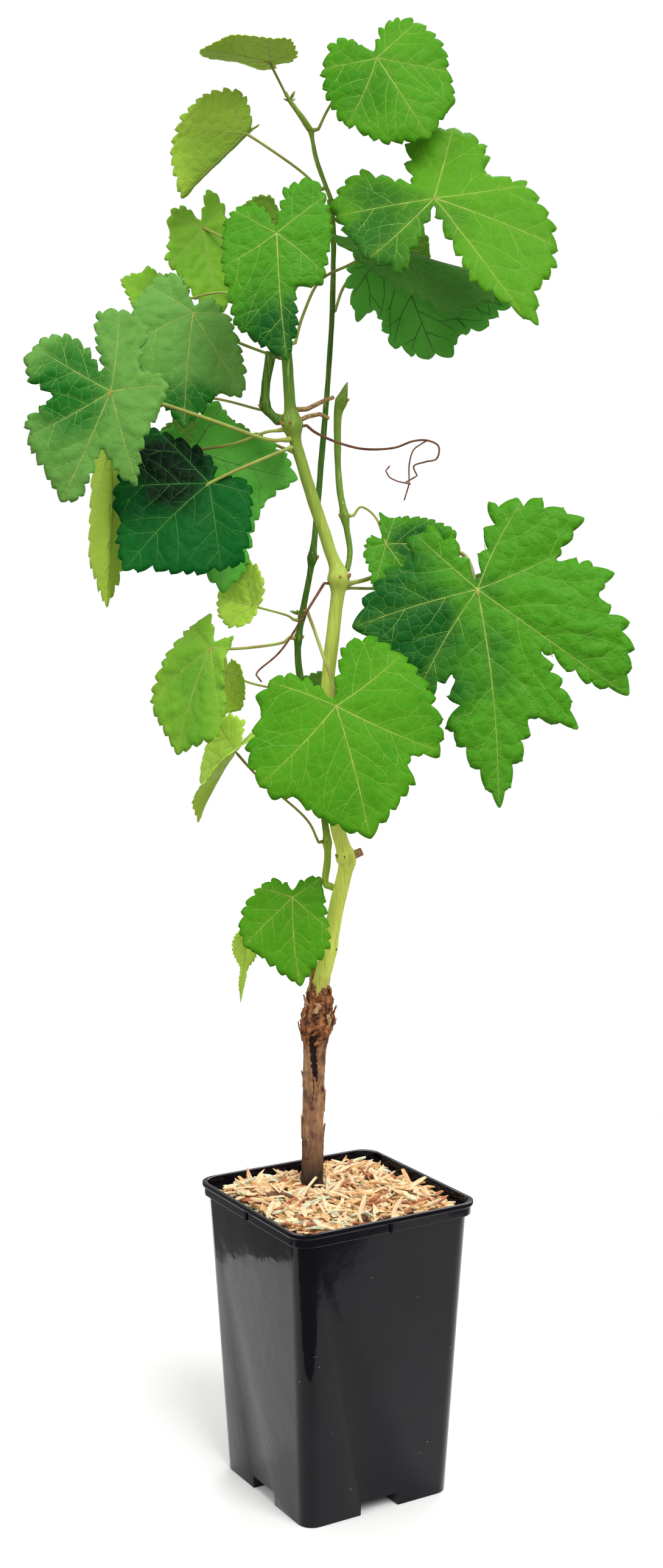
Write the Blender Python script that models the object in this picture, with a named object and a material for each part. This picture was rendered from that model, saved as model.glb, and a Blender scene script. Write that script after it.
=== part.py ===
"""A potted grapevine: a young grafted vine in a square plastic pot, with each leaf where it hangs.

Sizes are in millimetres and become metres when a mesh is made. The pot stands on Z = 0 with its
sides along X and Y. The vine is set in it with its broad side turned towards one corner, so its own
points are given as (across, away, up) and an empty turns them all.
"""

import math
from collections import namedtuple

import bpy
from mathutils import Matrix, Vector
from mathutils.bvhtree import BVHTree

MM = 0.001
GAP = 0.3
VINE_TURN = math.radians(-30.9)

# Pot: a square moulded container that narrows downwards, with a band and a lip round its mouth
POT_HEIGHT = 195.0
LIP_HALF = 67.0
LIP_HEIGHT = 3.2
BAND_HALF = 65.8
BAND_HEIGHT = 9.5
BODY_HALF = 63.2
FOOT_HALF = 53.8
LIP_CORNER = 12.0
FOOT_CORNER = 10.0
CORNER_STEPS = 5
WALL = 1.6
FLOOR = 2.4
NOTCH_WIDTH = 27.5
NOTCH_HEIGHT = 8.5
NOTCH_DEPTH = 16.0
EDGE_BEVEL = 0.8
CUT_MARGIN = 10.0

# Filling: potting mix under wood chips, heaped a little towards a flat middle
FILL_EDGE = 187.0
FILL_TOP = 191.5
FILL_SLOPE_SHARE = 0.85
FILL_FLAT_SHARE = 0.6

# Leaves: spacing and depth of the coarse teeth, and how far out the rings of each blade lie
TOOTH_SPACING = 22.0
TOOTH_DEPTH = 0.05
BLADE_RINGS = (0.52, 1.0)
SINUS_REACH = 4.5
FOLD_SOFTNESS = 0.08
THINNEST_BLADE = 0.9
BLADE_THICKNESS_SHARE = 0.016
STALK_SIDES = 5
EDGE_WAVES = 5.0

# Stalks and shoots: the straight run out of the limb, and the points tried round a stalk's end
SEAT_RUN = 2.5
RIM_POINTS = 12

# Swollen joints and pointed tips: where a joint is sampled, the least step on a limb, a point's length
KNUCKLE_STEPS = (-1.3, 0.0, 1.3)
LIMB_STEP = 2.5
POINT_RUN = 9.0

Limb = namedtuple("Limb", "bends base tip knuckles sides seat pointed", defaults=((), 8, None, False))
Leaf = namedtuple(
    "Leaf",
    "limb height via junction axis face edge fold droop cup wave twist stalk",
    defaults=(0.0, 12.0, 0.0, 0.02, 0.0, 1.2),
)

# Woody stem: flared foot, straight shank and the swollen graft union at its head
TRUNK_TOP = 322
TRUNK = Limb(
    bends=((-15.3, 12, FILL_TOP + GAP), (-15.3, 12, 200), (-14.9, 11.5, 225), (-14.4, 10.5, 265),
           (-12.8, 9, 300), (-10.9, 8, 315), (-10.9, 8, TRUNK_TOP)),
    base=6.9, tip=7.2, knuckles=((191, 2.4, 6), (303, 3.4, 11)), sides=12,
)

# Green canes and shoots: the bends they pass through, their radii at both ends, and their swollen joints
# as (height, added radius, reach). A side shoot starts on the limb and at the height that its seat names.
MAIN_CANE = Limb(
    bends=((-10.9, 8, TRUNK_TOP + GAP), (-10.9, 8, 326), (-6.3, 3, 344), (-0.5, 0, 376), (5.6, -2, 403),
           (6.2, -2, 412), (0.4, -2, 435), (-3.5, -2, 475), (-5.7, -2, 514), (-1.2, -2, 559), (1.5, -2, 587),
           (-5.1, -2, 608), (-20, -3, 654), (-26.9, -4, 681), (-29.8, -3, 717), (-32, -1, 742),
           (-27.5, 0, 761)),
    base=5.2, tip=3.1,
    knuckles=((322, 2.0, 7), (353, 0.8, 3), (412, 1.9, 4.5), (587, 3.2, 6), (681, 3.2, 6)), sides=10,
)
LONG_SHOOT = Limb(
    seat=("main_cane", 391),
    bends=((-7, 5, 396), (-5.4, 7, 420), (-14, 11, 475), (-23.8, 15, 534), (-21.4, 16, 563),
           (-15, 17, 599), (-10.7, 23, 643), (-3.4, 24, 733), (-1.5, 18, 790), (-3.5, 14, 818)),
    base=2.3, tip=1.6, knuckles=((420, 0.9, 3), (549, 1.0, 3), (563, 0.8, 3), (599, 1.5, 4), (818, 0.8, 3)),
)
TIP_SHOOT = Limb(
    bends=((-3.6, 13.9, 818.8), (-5.6, 13, 824), (-12.3, 10, 842), (-15.3, 10, 858), (-28.5, 8, 876)),
    base=1.6, tip=1.1, knuckles=((858, 0.7, 3), (876, 0.4, 3)), sides=6,
)
RIGHT_SHOOT = Limb(
    seat=("main_cane", 591),
    bends=((8.6, 8, 604), (5.3, 10, 625), (1.5, 15, 650), (1.1, 22, 685), (3.4, 22, 697), (7, 22, 708)),
    base=1.7, tip=2.4, knuckles=((625, 1.2, 4), (697, 1.6, 6)), pointed=True,
)
SPUR = Limb(
    seat=("main_cane", 684),
    bends=((-39.5, -1, 687), (-43.6, 0, 693), (-43, 0, 706), (-39.9, 0, 725)),
    base=2.4, tip=3.0, knuckles=((693, 1.1, 4), (725, 0.5, 4)),
)
LIMBS = {
    "trunk": TRUNK,
    "main_cane": MAIN_CANE,
    "long_shoot": LONG_SHOOT,
    "tip_shoot": TIP_SHOOT,
    "right_shoot": RIGHT_SHOOT,
    "spur": SPUR,
}

# Cut stubs that stay on the main cane's joints, each sunk into the cane
CUT_STUBS = (
    Limb(bends=((5, -2, 412), (11, -2, 413.5), (16.5, -2, 416)), base=3.2, tip=2.6, sides=6),
    Limb(bends=((-26, -3, 690), (-18, 0, 690.5), (-8, 3, 695.5), (-1.5, 5, 698)),
         base=1.6, tip=1.2, sides=6),
    Limb(bends=((-24, -4, 683), (-17, -3, 686), (-10, -1, 687.5), (-4.5, 1, 685)),
         base=1.5, tip=1.2, sides=6),
)

# Tendrils: a first strand from the cane, and the strands that fork from it
TENDRILS = {
    "long_tendril": (
        Limb(seat=("main_cane", 679),
             bends=((-12, 1, 676), (1, 6, 670.5), (17, 5, 666.5), (35, 3, 667), (47, 0, 671),
                    (56, 0, 671.5), (63, 0, 668), (62, 1, 660.5), (55, 2, 658.5), (48, 2, 656), (50, 2, 650),
                    (43, 1, 646)),
             base=0.9, tip=0.45, sides=5),
        Limb(bends=((56, 0, 671.5), (53, -1, 669.8), (47.5, -2, 665.5), (45, -2, 657), (45, -1.5, 645),
                    (42, -1, 635)),
             base=0.45, tip=0.45, sides=5),
        Limb(bends=((45.2, -1.5, 645), (38, -2, 646.5), (33, -2, 649), (30.5, -2, 653), (33, -2, 656)),
             base=0.45, tip=0.45, sides=5),
    ),
    "low_tendril": (
        Limb(seat=("main_cane", 584),
             bends=((-20, -9, 564), (-34, -11, 543), (-47, -12, 531.5), (-49.5, -12, 528),
                    (-46, -12, 523.5)),
             base=0.9, tip=0.5, sides=5),
    ),
}


def heart(length, cut=0.0):
    """The edge of a vine leaf from its midrib's length: a heart, with more or less cut between its lobes."""
    tips = ((25, 0.84 - cut), (50, 0.84), (76, 0.72 - cut), (103, 0.68), (130, 0.56), (155, 0.42))
    side = [(angle, length * reach) for angle, reach in tips]
    return [(-a, r) for a, r in reversed(side)] + [(0, length)] + side


# Leaves: the limb and height each one grows from (no height: from its tip), the points its stalk passes,
# the junction of stalk and blade, the way its midrib and its upper side point, and its edge as (degrees
# from the midrib, reach). Positive degrees turn anticlockwise, seen from the upper side.
LEAVES = {
    "leaf_top_left": Leaf(
        "tip_shoot", None, (), (-40, -2, 896), (-0.80, -0.58, 0.10), (0.05, 0.16, 0.98),
        ((-150, 10), (-100, 16), (-50, 30), (-20, 42), (0, 50), (28, 44), (52, 38), (80, 30), (110, 21),
         (150, 12)),
        fold=8, droop=8, stalk=0.8,
    ),
    "leaf_top_right": Leaf(
        "tip_shoot", 858, ((-3, 6, 873), (12, -8, 888)), (24, -22, 894),
        (0.55, -0.22, -0.81), (0.13, -0.93, 0.34),
        ((-158, 22), (-140, 29), (-107, 34), (-82, 40), (-60, 47), (-29, 53), (-14, 54), (0, 58),
         (15, 53), (32, 53), (66, 43), (84, 41), (108, 38), (124, 32), (140, 21)),
        droop=10, cup=0.10, stalk=0.9,
    ),
    "leaf_high_left": Leaf(
        "tip_shoot", 825, ((-22, 7, 834), (-42, 1, 847)), (-55, 0, 855),
        (-0.73, 0.0, -0.68), (-0.52, 0.64, 0.56),
        ((-155, 10), (-128, 17), (-98, 30), (-57, 42), (-28, 46), (0, 55), (15, 51), (28, 48), (57, 43),
         (84, 36), (110, 30), (128, 25), (155, 9)),
        fold=50, droop=0, stalk=0.9,
    ),
    "leaf_high_right": Leaf(
        "long_shoot", 813, ((12, 4, 806), (36, -10, 798), (52, -21, 802)), (58, -30, 812),
        (0.23, 0.46, 0.86), (0.0, -0.88, 0.47),
        ((-160, 14), (-146, 60), (-131, 102), (-122, 84), (-108, 83), (-90, 74), (-63, 57), (-44, 37),
         (-34, 45), (-21, 53), (0, 55), (33, 45), (50, 26), (66, 16), (78, 48), (92, 57), (106, 62),
         (128, 57), (147, 58), (172, 54), (178, 22)),
        cup=0.12, stalk=1.1,
    ),
    "leaf_high_right_folded": Leaf(
        "main_cane", 730, ((-20, 2, 748), (-10, 4, 768), (8, 8, 778), (22, 8, 785)), (33, 8, 788),
        (0.957, 0.0, -0.289), (-0.289, 0.0, -0.957),
        ((-150, 22), (-125, 36), (-110, 44), (-96, 58), (-88, 45), (-78, 65), (-64, 73), (-48, 80),
         (-40, 70), (-32, 78), (-17, 82), (0, 88), (18, 71), (42, 59), (67, 34), (92, 26), (140, 28),
         (168, 40)),
        fold=70, droop=6, stalk=1.0,
    ),
    "leaf_centre_upper": Leaf(
        "main_cane", 744, ((-37, -12, 752), (-37, -30, 770)), (-35, -44, 790),
        (0.08, -0.24, -0.97), (0.0, -0.97, 0.24),
        ((-160, 18), (-147, 25), (-124, 30), (-107, 32), (-76, 34), (-61, 38), (-29, 60), (-11, 68),
         (0, 76), (8, 58), (14, 34), (37, 41), (56, 34), (90, 33), (120, 36), (136, 40), (149, 38),
         (167, 28)),
        droop=10, cup=0.08, stalk=1.1,
    ),
    "leaf_left_pale": Leaf(
        "main_cane", 757, ((-52, 14, 778), (-68, 26, 795)), (-83, 34, 804),
        (0.17, -0.17, -0.97), (0.20, -0.96, 0.21),
        ((-148, 17), (-126, 22), (-100, 24), (-86, 22), (-55, 35), (-35, 36), (-12, 49), (0, 57),
         (10, 50), (30, 34), (60, 22), (95, 16), (126, 20), (153, 24), (166, 25)),
        fold=12, droop=8, stalk=0.9,
    ),
    "leaf_left_small": Leaf(
        "main_cane", 738, ((-50, 8, 752), (-68, 14, 762), (-92, 22, 759)), (-105, 32, 756),
        (-0.86, 0.1, 0.48), (-0.17, -0.97, 0.17),
        ((-150, 12), (-110, 18), (-70, 20), (-44, 21), (-34, 29), (-20, 27), (-14, 31), (0, 36), (32, 22),
         (60, 24), (100, 22), (150, 12)),
        droop=6, stalk=0.9,
    ),
    "leaf_left_grey": Leaf(
        "main_cane", 722, ((-43, 10, 725), (-68, 9, 735)), (-87, -4, 748),
        (-0.07, -0.28, -0.96), (0.07, -0.96, 0.28),
        ((-158, 26), (-135, 33), (-118, 33), (-91, 37), (-60, 42), (-30, 54), (0, 72), (12, 60), (22, 52),
         (34, 60), (45, 50), (65, 31), (90, 22), (114, 17), (147, 14)),
        droop=8, cup=0.06, stalk=1.0,
    ),
    "leaf_far_left": Leaf(
        "main_cane", 673, ((-44, -18, 672), (-80, -32, 684), (-112, -42, 694)), (-133, -50, 698),
        (-0.39, -0.06, -0.92), (-0.17, -0.98, 0.14),
        ((-129, 30), (-120, 45), (-108, 55), (-89, 60), (-76, 52), (-65, 35), (-52, 57), (-36, 61),
         (-20, 62), (-4, 72), (5, 66), (9, 48), (12, 33), (28, 50), (37, 58), (48, 42), (66, 33),
         (84, 32), (118, 35), (133, 31), (145, 21), (160, 25), (172, 44), (188, 48), (204, 50), (216, 48),
         (222, 30)),
        droop=14, cup=0.12, stalk=1.3,
    ),
    "leaf_far_left_hanging": Leaf(
        "main_cane", 687, ((-48, 12, 691), (-85, 44, 700), (-118, 20, 690)), (-137, -8, 672),
        (-0.04, 0.0, -1.0), (0.0, 1.0, 0.05),
        ((-150, 12), (-105, 18), (-60, 24), (-36, 42), (-20, 68), (-10, 86), (0, 103), (12, 90), (26, 82),
         (38, 60), (60, 42), (105, 30), (150, 14)),
        fold=66, droop=4, stalk=0.9,
    ),
    "leaf_left_dark": Leaf(
        "main_cane", 668, ((-42, -14, 661), (-60, -23, 653)), (-77, -24, 645),
        (-0.66, -0.36, -0.66), (0.10, -0.91, 0.41),
        ((-160, 13), (-126, 24), (-96, 50), (-84, 52), (-62, 52), (-45, 57), (-33, 60), (-24, 58),
         (-14, 67), (0, 76), (10, 66), (24, 61), (40, 57), (64, 55), (81, 40), (110, 28), (132, 26),
         (155, 16)),
        droop=10, cup=0.06, stalk=1.1,
    ),
    "leaf_left_behind": Leaf(
        "main_cane", 679, ((-44, -6, 676), (-64, -3, 669)), (-89, 12, 666),
        (0.22, -0.20, -0.95), (0.13, -0.94, 0.31),
        ((-155, 20), (-110, 30), (-75, 38), (-45, 52), (-22, 66), (-6, 79), (0, 91), (12, 82), (28, 60),
         (44, 55), (64, 68), (76, 60), (90, 48), (112, 32), (142, 36), (158, 30)),
        droop=10, cup=0.06, stalk=1.0,
    ),
    "leaf_mid_pale": Leaf(
        "long_shoot", 560, ((-32, 12, 564),), (-52, 2, 570), (-0.76, 0.62, 0.21), (-0.54, -0.77, 0.34),
        ((-150, 8), (-110, 16), (-82, 25), (-61, 32), (-34, 35), (-15, 33), (0, 34), (30, 25), (64, 21),
         (100, 14), (150, 7)),
        fold=15, stalk=0.8,
    ),
    "leaf_mid_left": Leaf(
        "long_shoot", 549, ((-36, 10, 546), (-60, -8, 544)), (-77, -20, 545),
        (-0.35, -0.04, -0.94), (-0.46, -0.86, 0.21),
        ((-158, 22), (-130, 20), (-96, 24), (-62, 33), (-40, 51), (-33, 57), (-18, 60), (0, 70), (10, 61),
         (26, 56), (36, 40), (50, 20), (94, 12), (135, 18)),
        droop=12, cup=0.10, stalk=1.0,
    ),
    "leaf_mid_left_edge": Leaf(
        "long_shoot", 516, ((-38, 18, 517), (-56, 20, 521)), (-69, 20, 528),
        (-0.10, 0.42, -0.90), (0.90, 0.35, 0.25),
        heart(32), fold=12, stalk=0.8,
    ),
    "leaf_low_edge": Leaf(
        "long_shoot", 421, ((-20, 4, 437), (-48, -5, 463)), (-63, -9, 480),
        (-0.55, -0.12, -0.83), (-0.80, -0.28, 0.53),
        heart(50), fold=20, droop=10, twist=30, stalk=0.9,
    ),
    "leaf_centre_heart": Leaf(
        "long_shoot", 566, ((-14, 4, 556), (-9, -16, 543), (-2, -38, 524)), (0, -52, 512),
        (0.25, -0.27, -0.93), (0.0, -0.96, 0.28),
        ((-150, 24), (-136, 39), (-112, 49), (-100, 45), (-79, 60), (-65, 65), (-48, 68), (-39, 60),
         (-27, 66), (-12, 74), (0, 82), (13, 72), (30, 66), (42, 53), (49, 69), (64, 66), (84, 58),
         (100, 54), (123, 51), (142, 48), (160, 38)),
        droop=10, cup=0.05, stalk=1.1,
    ),
    "leaf_right_small": Leaf(
        "right_shoot", 625, ((16, 12, 631), (25, 11, 624)), (31, 5, 608),
        (0.52, -0.20, -0.83), (0.07, -0.95, 0.31),
        ((-150, 12), (-103, 15), (-80, 17), (-62, 20), (-46, 32), (-20, 35), (0, 43), (30, 45), (57, 44),
         (71, 45), (90, 33), (117, 22), (144, 17), (160, 22)),
        droop=8, stalk=0.8,
    ),
    "leaf_right_large": Leaf(
        "main_cane", 584, ((22, 14, 587), (50, 27, 598), (79, 20, 602)), (86, -26, 581),
        (0.10, -0.20, -0.98), (-0.02, -0.97, 0.21),
        ((-163, 30), (-150, 48), (-132, 53), (-120, 44), (-109, 56), (-90, 70), (-79, 79), (-62, 68),
         (-44, 76), (-30, 72), (-22, 53), (-17, 88), (-7, 108), (0, 134), (8, 106), (12, 98), (16, 84),
         (30, 105), (36, 80), (40, 53), (44, 90), (49, 112), (63, 100), (72, 92), (81, 73), (91, 84),
         (99, 70), (105, 51), (118, 79), (144, 65), (165, 54)),
        droop=12, cup=0.05, stalk=1.5,
    ),
    "leaf_low_left": Leaf(
        "long_shoot", 396, ((-18, -2, 396), (-25, -12, 394)), (-27, -22, 390),
        (0.08, -0.21, -0.97), (-0.07, -0.98, 0.21),
        ((-158, 12), (-135, 18), (-106, 24), (-83, 32), (-65, 39), (-50, 43), (-32, 42), (-14, 48),
         (0, 56), (9, 48), (34, 38), (49, 27), (88, 20), (124, 22), (150, 13)),
        droop=8, cup=0.05, stalk=1.0,
    ),
    "leaf_low_tiny": Leaf(
        "main_cane", 354, ((-20, 4, 362), (-38, 6, 366)), (-57, 3, 362),
        (-0.08, -0.10, -0.99), (0.0, -0.98, 0.17),
        ((-90, 7), (-50, 12), (-28, 17), (-7, 22), (-6, 33), (0, 46), (6, 33), (7, 22), (28, 17),
         (50, 12), (90, 7)),
        fold=10, twist=70, stalk=0.7,
    ),
    "leaf_back_low": Leaf(
        "long_shoot", 500, ((-14, 32, 512), (-4, 54, 516)), (6, 64, 508),
        (0.20, 0.22, -0.95), (0.10, 0.93, 0.30),
        heart(54, cut=0.08), droop=14, cup=0.1, stalk=1.1,
    ),
    "leaf_back_left": Leaf(
        "main_cane", 664, ((-34, 22, 668), (-60, 50, 678)), (-84, 66, 672),
        (-0.15, 0.20, -0.94), (-0.15, 0.93, 0.30),
        heart(46, cut=0.08), droop=14, cup=0.1, stalk=1.1,
    ),
    "leaf_back_right": Leaf(
        "long_shoot", 752, ((6, 38, 770), (22, 51, 787)), (36, 58, 792),
        (0.20, 0.22, -0.92), (0.20, 0.93, 0.30),
        heart(38, cut=0.08), droop=14, cup=0.1, stalk=1.0,
    ),
    "leaf_back_top": Leaf(
        "main_cane", 758, ((-22, 22, 776), (-30, 48, 806)), (-36, 57, 812),
        (-0.12, 0.24, -0.96), (-0.15, 0.93, 0.30),
        heart(38), droop=14, cup=0.1, stalk=0.9,
    ),
    "leaf_back_right_low": Leaf(
        "main_cane", 581, ((24, 24, 580), (54, 46, 580)), (80, 56, 568),
        (0.20, 0.22, -0.95), (0.15, 0.93, 0.30),
        heart(52, cut=0.08), droop=14, cup=0.1, stalk=1.1,
    ),
}


def material(name, colour, roughness, metallic=0.0):
    made = bpy.data.materials.new(name)
    made.use_nodes = True
    shader = made.node_tree.nodes["Principled BSDF"]
    shader.inputs["Base Color"].default_value = (*colour, 1.0)
    shader.inputs["Roughness"].default_value = roughness
    shader.inputs["Metallic"].default_value = metallic
    return made


def add_object(name, points, faces, finish, parent=None):
    """A named object from points in millimetres and faces."""
    mesh = bpy.data.meshes.new(name)
    mesh.from_pydata([Vector(p) * MM for p in points], [], faces)
    mesh.materials.append(finish)
    made = bpy.data.objects.new(name, mesh)
    bpy.context.scene.collection.objects.link(made)
    made.parent = parent
    return made


def apply_modifiers(item):
    """Gives the object the mesh that its modifiers make."""
    bpy.context.view_layer.update()
    seen = item.evaluated_get(bpy.context.evaluated_depsgraph_get())
    mesh = bpy.data.meshes.new_from_object(seen)
    item.modifiers.clear()
    item.data = mesh


def boolean(item, others, operation):
    """Joins the other objects to this one, or cuts them from it, and removes them."""
    group = bpy.data.collections.new(item.name + "_" + operation.lower())
    bpy.context.scene.collection.children.link(group)
    for other in others:
        group.objects.link(other)
    modifier = item.modifiers.new(operation, "BOOLEAN")
    modifier.operation = operation
    modifier.operand_type = "COLLECTION"
    modifier.collection = group
    modifier.solver = "EXACT"
    apply_modifiers(item)
    for other in others:
        bpy.data.objects.remove(other)
    bpy.data.collections.remove(group)


def rounded_square(half, corner, z):
    """Points round a square with round corners, anticlockwise seen from above."""
    points = []
    for quarter in range(4):
        for step in range(CORNER_STEPS + 1):
            angle = math.pi / 2 * (quarter + step / CORNER_STEPS)
            middle = math.pi / 4 + math.pi / 2 * quarter
            x = math.copysign(half - corner, math.cos(middle)) + corner * math.cos(angle)
            y = math.copysign(half - corner, math.sin(middle)) + corner * math.sin(angle)
            points.append(Vector((x, y, z)))
    return points


def loft(rings):
    """Points and faces of a closed solid through rings of equal count, with a flat face at each end."""
    count = len(rings[0])
    points = [p for ring in rings for p in ring]
    faces = [tuple(reversed(range(count)))]
    for low in range(0, len(points) - count, count):
        for i in range(count):
            j = (i + 1) % count
            faces.append((low + i, low + j, low + count + j, low + count + i))
    faces.append(tuple(range(len(points) - count, len(points))))
    return points, faces


def box(name, low, high, finish):
    corners = ((low[0], low[1]), (high[0], low[1]), (high[0], high[1]), (low[0], high[1]))
    rings = [[Vector((x, y, z)) for x, y in corners] for z in (low[2], high[2])]
    return add_object(name, *loft(rings), finish)


def four_boxes(near, far, half_width, low, high, finish):
    """A box at the middle of each side of the pot, from near to far from its axis."""
    made = []
    for quarter in range(4):
        piece = box("notch", (near, -half_width, low), (far, half_width, high), finish)
        piece.data.transform(Matrix.Rotation(math.pi / 2 * quarter, 4, "Z"))
        made.append(piece)
    return made


def body_half(z):
    """Half the width of the pot's outer wall at a height under the band."""
    return FOOT_HALF + (BODY_HALF - FOOT_HALF) * z / (POT_HEIGHT - BAND_HEIGHT)


def body_corner(z):
    return FOOT_CORNER + (LIP_CORNER - FOOT_CORNER) * z / POT_HEIGHT


def build_pot(finish):
    """The pot as one moulded shell, with a drainage notch under the middle of each side."""
    band_low = POT_HEIGHT - BAND_HEIGHT
    lip_low = POT_HEIGHT - LIP_HEIGHT
    outer = [
        (body_half(0) - EDGE_BEVEL, 0.0),
        (body_half(0), EDGE_BEVEL),
        (body_half(band_low), band_low),
        (BAND_HALF, band_low + EDGE_BEVEL),
        (BAND_HALF, lip_low),
        (LIP_HALF, lip_low + EDGE_BEVEL),
        (LIP_HALF, POT_HEIGHT - EDGE_BEVEL),
        (LIP_HALF - EDGE_BEVEL, POT_HEIGHT),
    ]
    inner = [
        (BAND_HALF - WALL + EDGE_BEVEL / 2, POT_HEIGHT),
        (BAND_HALF - WALL, POT_HEIGHT - EDGE_BEVEL),
        (BAND_HALF - WALL, band_low + EDGE_BEVEL + 1.3 * WALL),
        (body_half(band_low) - WALL, band_low + EDGE_BEVEL),
        (body_half(FLOOR) - WALL, FLOOR),
    ]
    rings = [rounded_square(half, body_corner(z), z) for half, z in outer]
    rings += [rounded_square(half, body_corner(z) - WALL, z) for half, z in inner]
    pot = add_object("pot", *loft(rings), finish)
    near = FOOT_HALF - NOTCH_DEPTH
    half_width = NOTCH_WIDTH / 2
    top = NOTCH_HEIGHT + WALL
    housings = four_boxes(near - WALL, FOOT_HALF - WALL / 3, half_width + WALL, FLOOR / 2, top, finish)
    boolean(pot, housings, "UNION")
    notches = four_boxes(near, FOOT_HALF + CUT_MARGIN, half_width, -CUT_MARGIN, NOTCH_HEIGHT, finish)
    boolean(pot, notches, "DIFFERENCE")
    return pot


def build_filling(finish):
    """Potting mix and chips in one solid that fills the pot to its band, clear of the walls."""
    band_low = POT_HEIGHT - BAND_HEIGHT
    rings = []
    for z in (FLOOR + GAP, band_low - WALL, FILL_EDGE):
        half = body_half(min(z, band_low - WALL)) - WALL - GAP
        rings.append(rounded_square(half, body_corner(z) - WALL - GAP, z))
    for share in (FILL_SLOPE_SHARE, FILL_FLAT_SHARE):
        height = FILL_EDGE + (FILL_TOP - FILL_EDGE) * (1.0 - share) / (1.0 - FILL_FLAT_SHARE)
        rings.append([Vector((p.x * share, p.y * share, height)) for p in rings[2]])
    filling = add_object("filling", *loft(rings), finish)
    near = FOOT_HALF - NOTCH_DEPTH - WALL - GAP
    half_width = NOTCH_WIDTH / 2 + WALL + GAP
    top = NOTCH_HEIGHT + WALL + GAP
    rooms = four_boxes(near, FOOT_HALF + CUT_MARGIN, half_width, -CUT_MARGIN, top, finish)
    boolean(filling, rooms, "DIFFERENCE")
    return filling


def through(points, steps):
    """A smooth curve through the points, with a number of steps from each to the next."""
    ends = [2 * points[0] - points[1]] + list(points) + [2 * points[-1] - points[-2]]
    curve = []
    for before, start, stop, after in zip(ends, ends[1:], ends[2:], ends[3:]):
        for step in range(steps):
            t = step / steps
            curve.append(0.5 * (2 * start + (stop - before) * t
                                + (2 * before - 5 * start + 4 * stop - after) * t * t
                                + (3 * start - before - 3 * stop + after) * t ** 3))
    return curve + [points[-1]]


def flowing(bends, steps):
    """A smooth curve through the bends whose first and last stretches are straight."""
    if len(bends) < 4:
        return list(bends)
    return [bends[0]] + through(bends[1:-1], steps) + [bends[-1]]


def at_height(line, height):
    """The middle, radius and direction at a height of a rising line of (point, radius) pairs."""
    i = next((n for n in range(len(line) - 2) if line[n + 1][0].z >= height), len(line) - 2)
    (low, thin), (high, thick) = line[i], line[i + 1]
    share = min(1.0, max(0.0, (height - low.z) / (high.z - low.z)))
    return low.lerp(high, share), thin + (thick - thin) * share, (high - low).normalized()


def seat_on(limb, height, toward, radius):
    """Two points that leave a limb at right angles, on the side of a third point.

    The first is where a round end of that radius comes within the gap of the limb's surface. Without a
    height they run straight on from the limb's tip.
    """
    line = limb_line(limb)
    if height is None:
        end = line[-1][0]
        out = (end - line[-2][0]).normalized()
        return [end + out * GAP, end + out * (GAP + SEAT_RUN)]
    centre, reach, along = at_height(line, height)
    out = toward - centre
    out = (out - along * out.dot(along)).normalized()
    beside = along.cross(out)
    far = centre + out * 3 * reach
    turns = [2 * math.pi * k / RIM_POINTS for k in range(RIM_POINTS)]
    rim = [far] + [far + radius * (along * math.cos(a) + beside * math.sin(a)) for a in turns]
    surface = BVHTree.FromPolygons(*tube(line, limb.sides))
    falls = [surface.ray_cast(point, -out)[3] for point in rim]
    start = far - out * (min(fall for fall in falls if fall is not None) - GAP)
    return [start, start + out * SEAT_RUN]


def limb_line(limb):
    """(point, radius) along a limb: it tapers evenly, swells at its knuckles and may end in a point."""
    bends = [Vector(b) for b in limb.bends]
    if limb.seat:
        name, height = limb.seat
        bends = seat_on(LIMBS[name], height, bends[0], limb.base) + bends
    line = flowing(bends, 2)
    if limb.knuckles:
        curve = [(p, 0.0) for p in flowing(bends, 8)]
        wanted = [h + reach * step for h, _, reach in limb.knuckles for step in KNUCKLE_STEPS]
        low, high = line[1].z + LIMB_STEP / 2, line[-1].z - LIMB_STEP / 2
        wanted = [h for h in wanted if low < h < high]
        kept = [p for p in line[2:-1] if all(abs(p.z - h) > LIMB_STEP for h in wanted)]
        line = line[:2] + kept + line[-1:]
        for height in wanted:
            place = next(i for i, p in enumerate(line) if i > 1 and p.z > height)
            line.insert(place, at_height(curve, height)[0])
    run = [0.0]
    for a, b in zip(line, line[1:]):
        run.append(run[-1] + (b - a).length)
    made = []
    for point, far in zip(line, run):
        radius = limb.base + (limb.tip - limb.base) * far / run[-1]
        for height, swell, reach in limb.knuckles:
            radius += swell * math.exp(-(((point.z - height) / reach) ** 2))
        if limb.pointed:
            radius *= min(1.0, 0.15 + (run[-1] - far) / POINT_RUN)
        made.append((point, radius))
    return made


def tube(line, sides):
    """Points and faces of a closed tube along (point, radius) pairs."""
    points = [p for p, _ in line]
    first = (points[1] - points[0]).normalized()
    side = first.orthogonal().normalized()
    rings = []
    for i, (point, radius) in enumerate(line):
        ahead = points[min(i + 1, len(points) - 1)] - points[i]
        behind = points[i] - points[max(i - 1, 0)]
        tangent = (ahead.normalized() + behind.normalized()).normalized()
        side = (side - tangent * side.dot(tangent)).normalized()
        other = tangent.cross(side)
        turn = [2 * math.pi * k / sides for k in range(sides)]
        rings.append([point + radius * (side * math.cos(a) + other * math.sin(a)) for a in turn])
    return loft(rings)


def build_limb(name, limb, finish, parent):
    return add_object(name, *tube(limb_line(limb), limb.sides), finish, parent)


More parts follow.
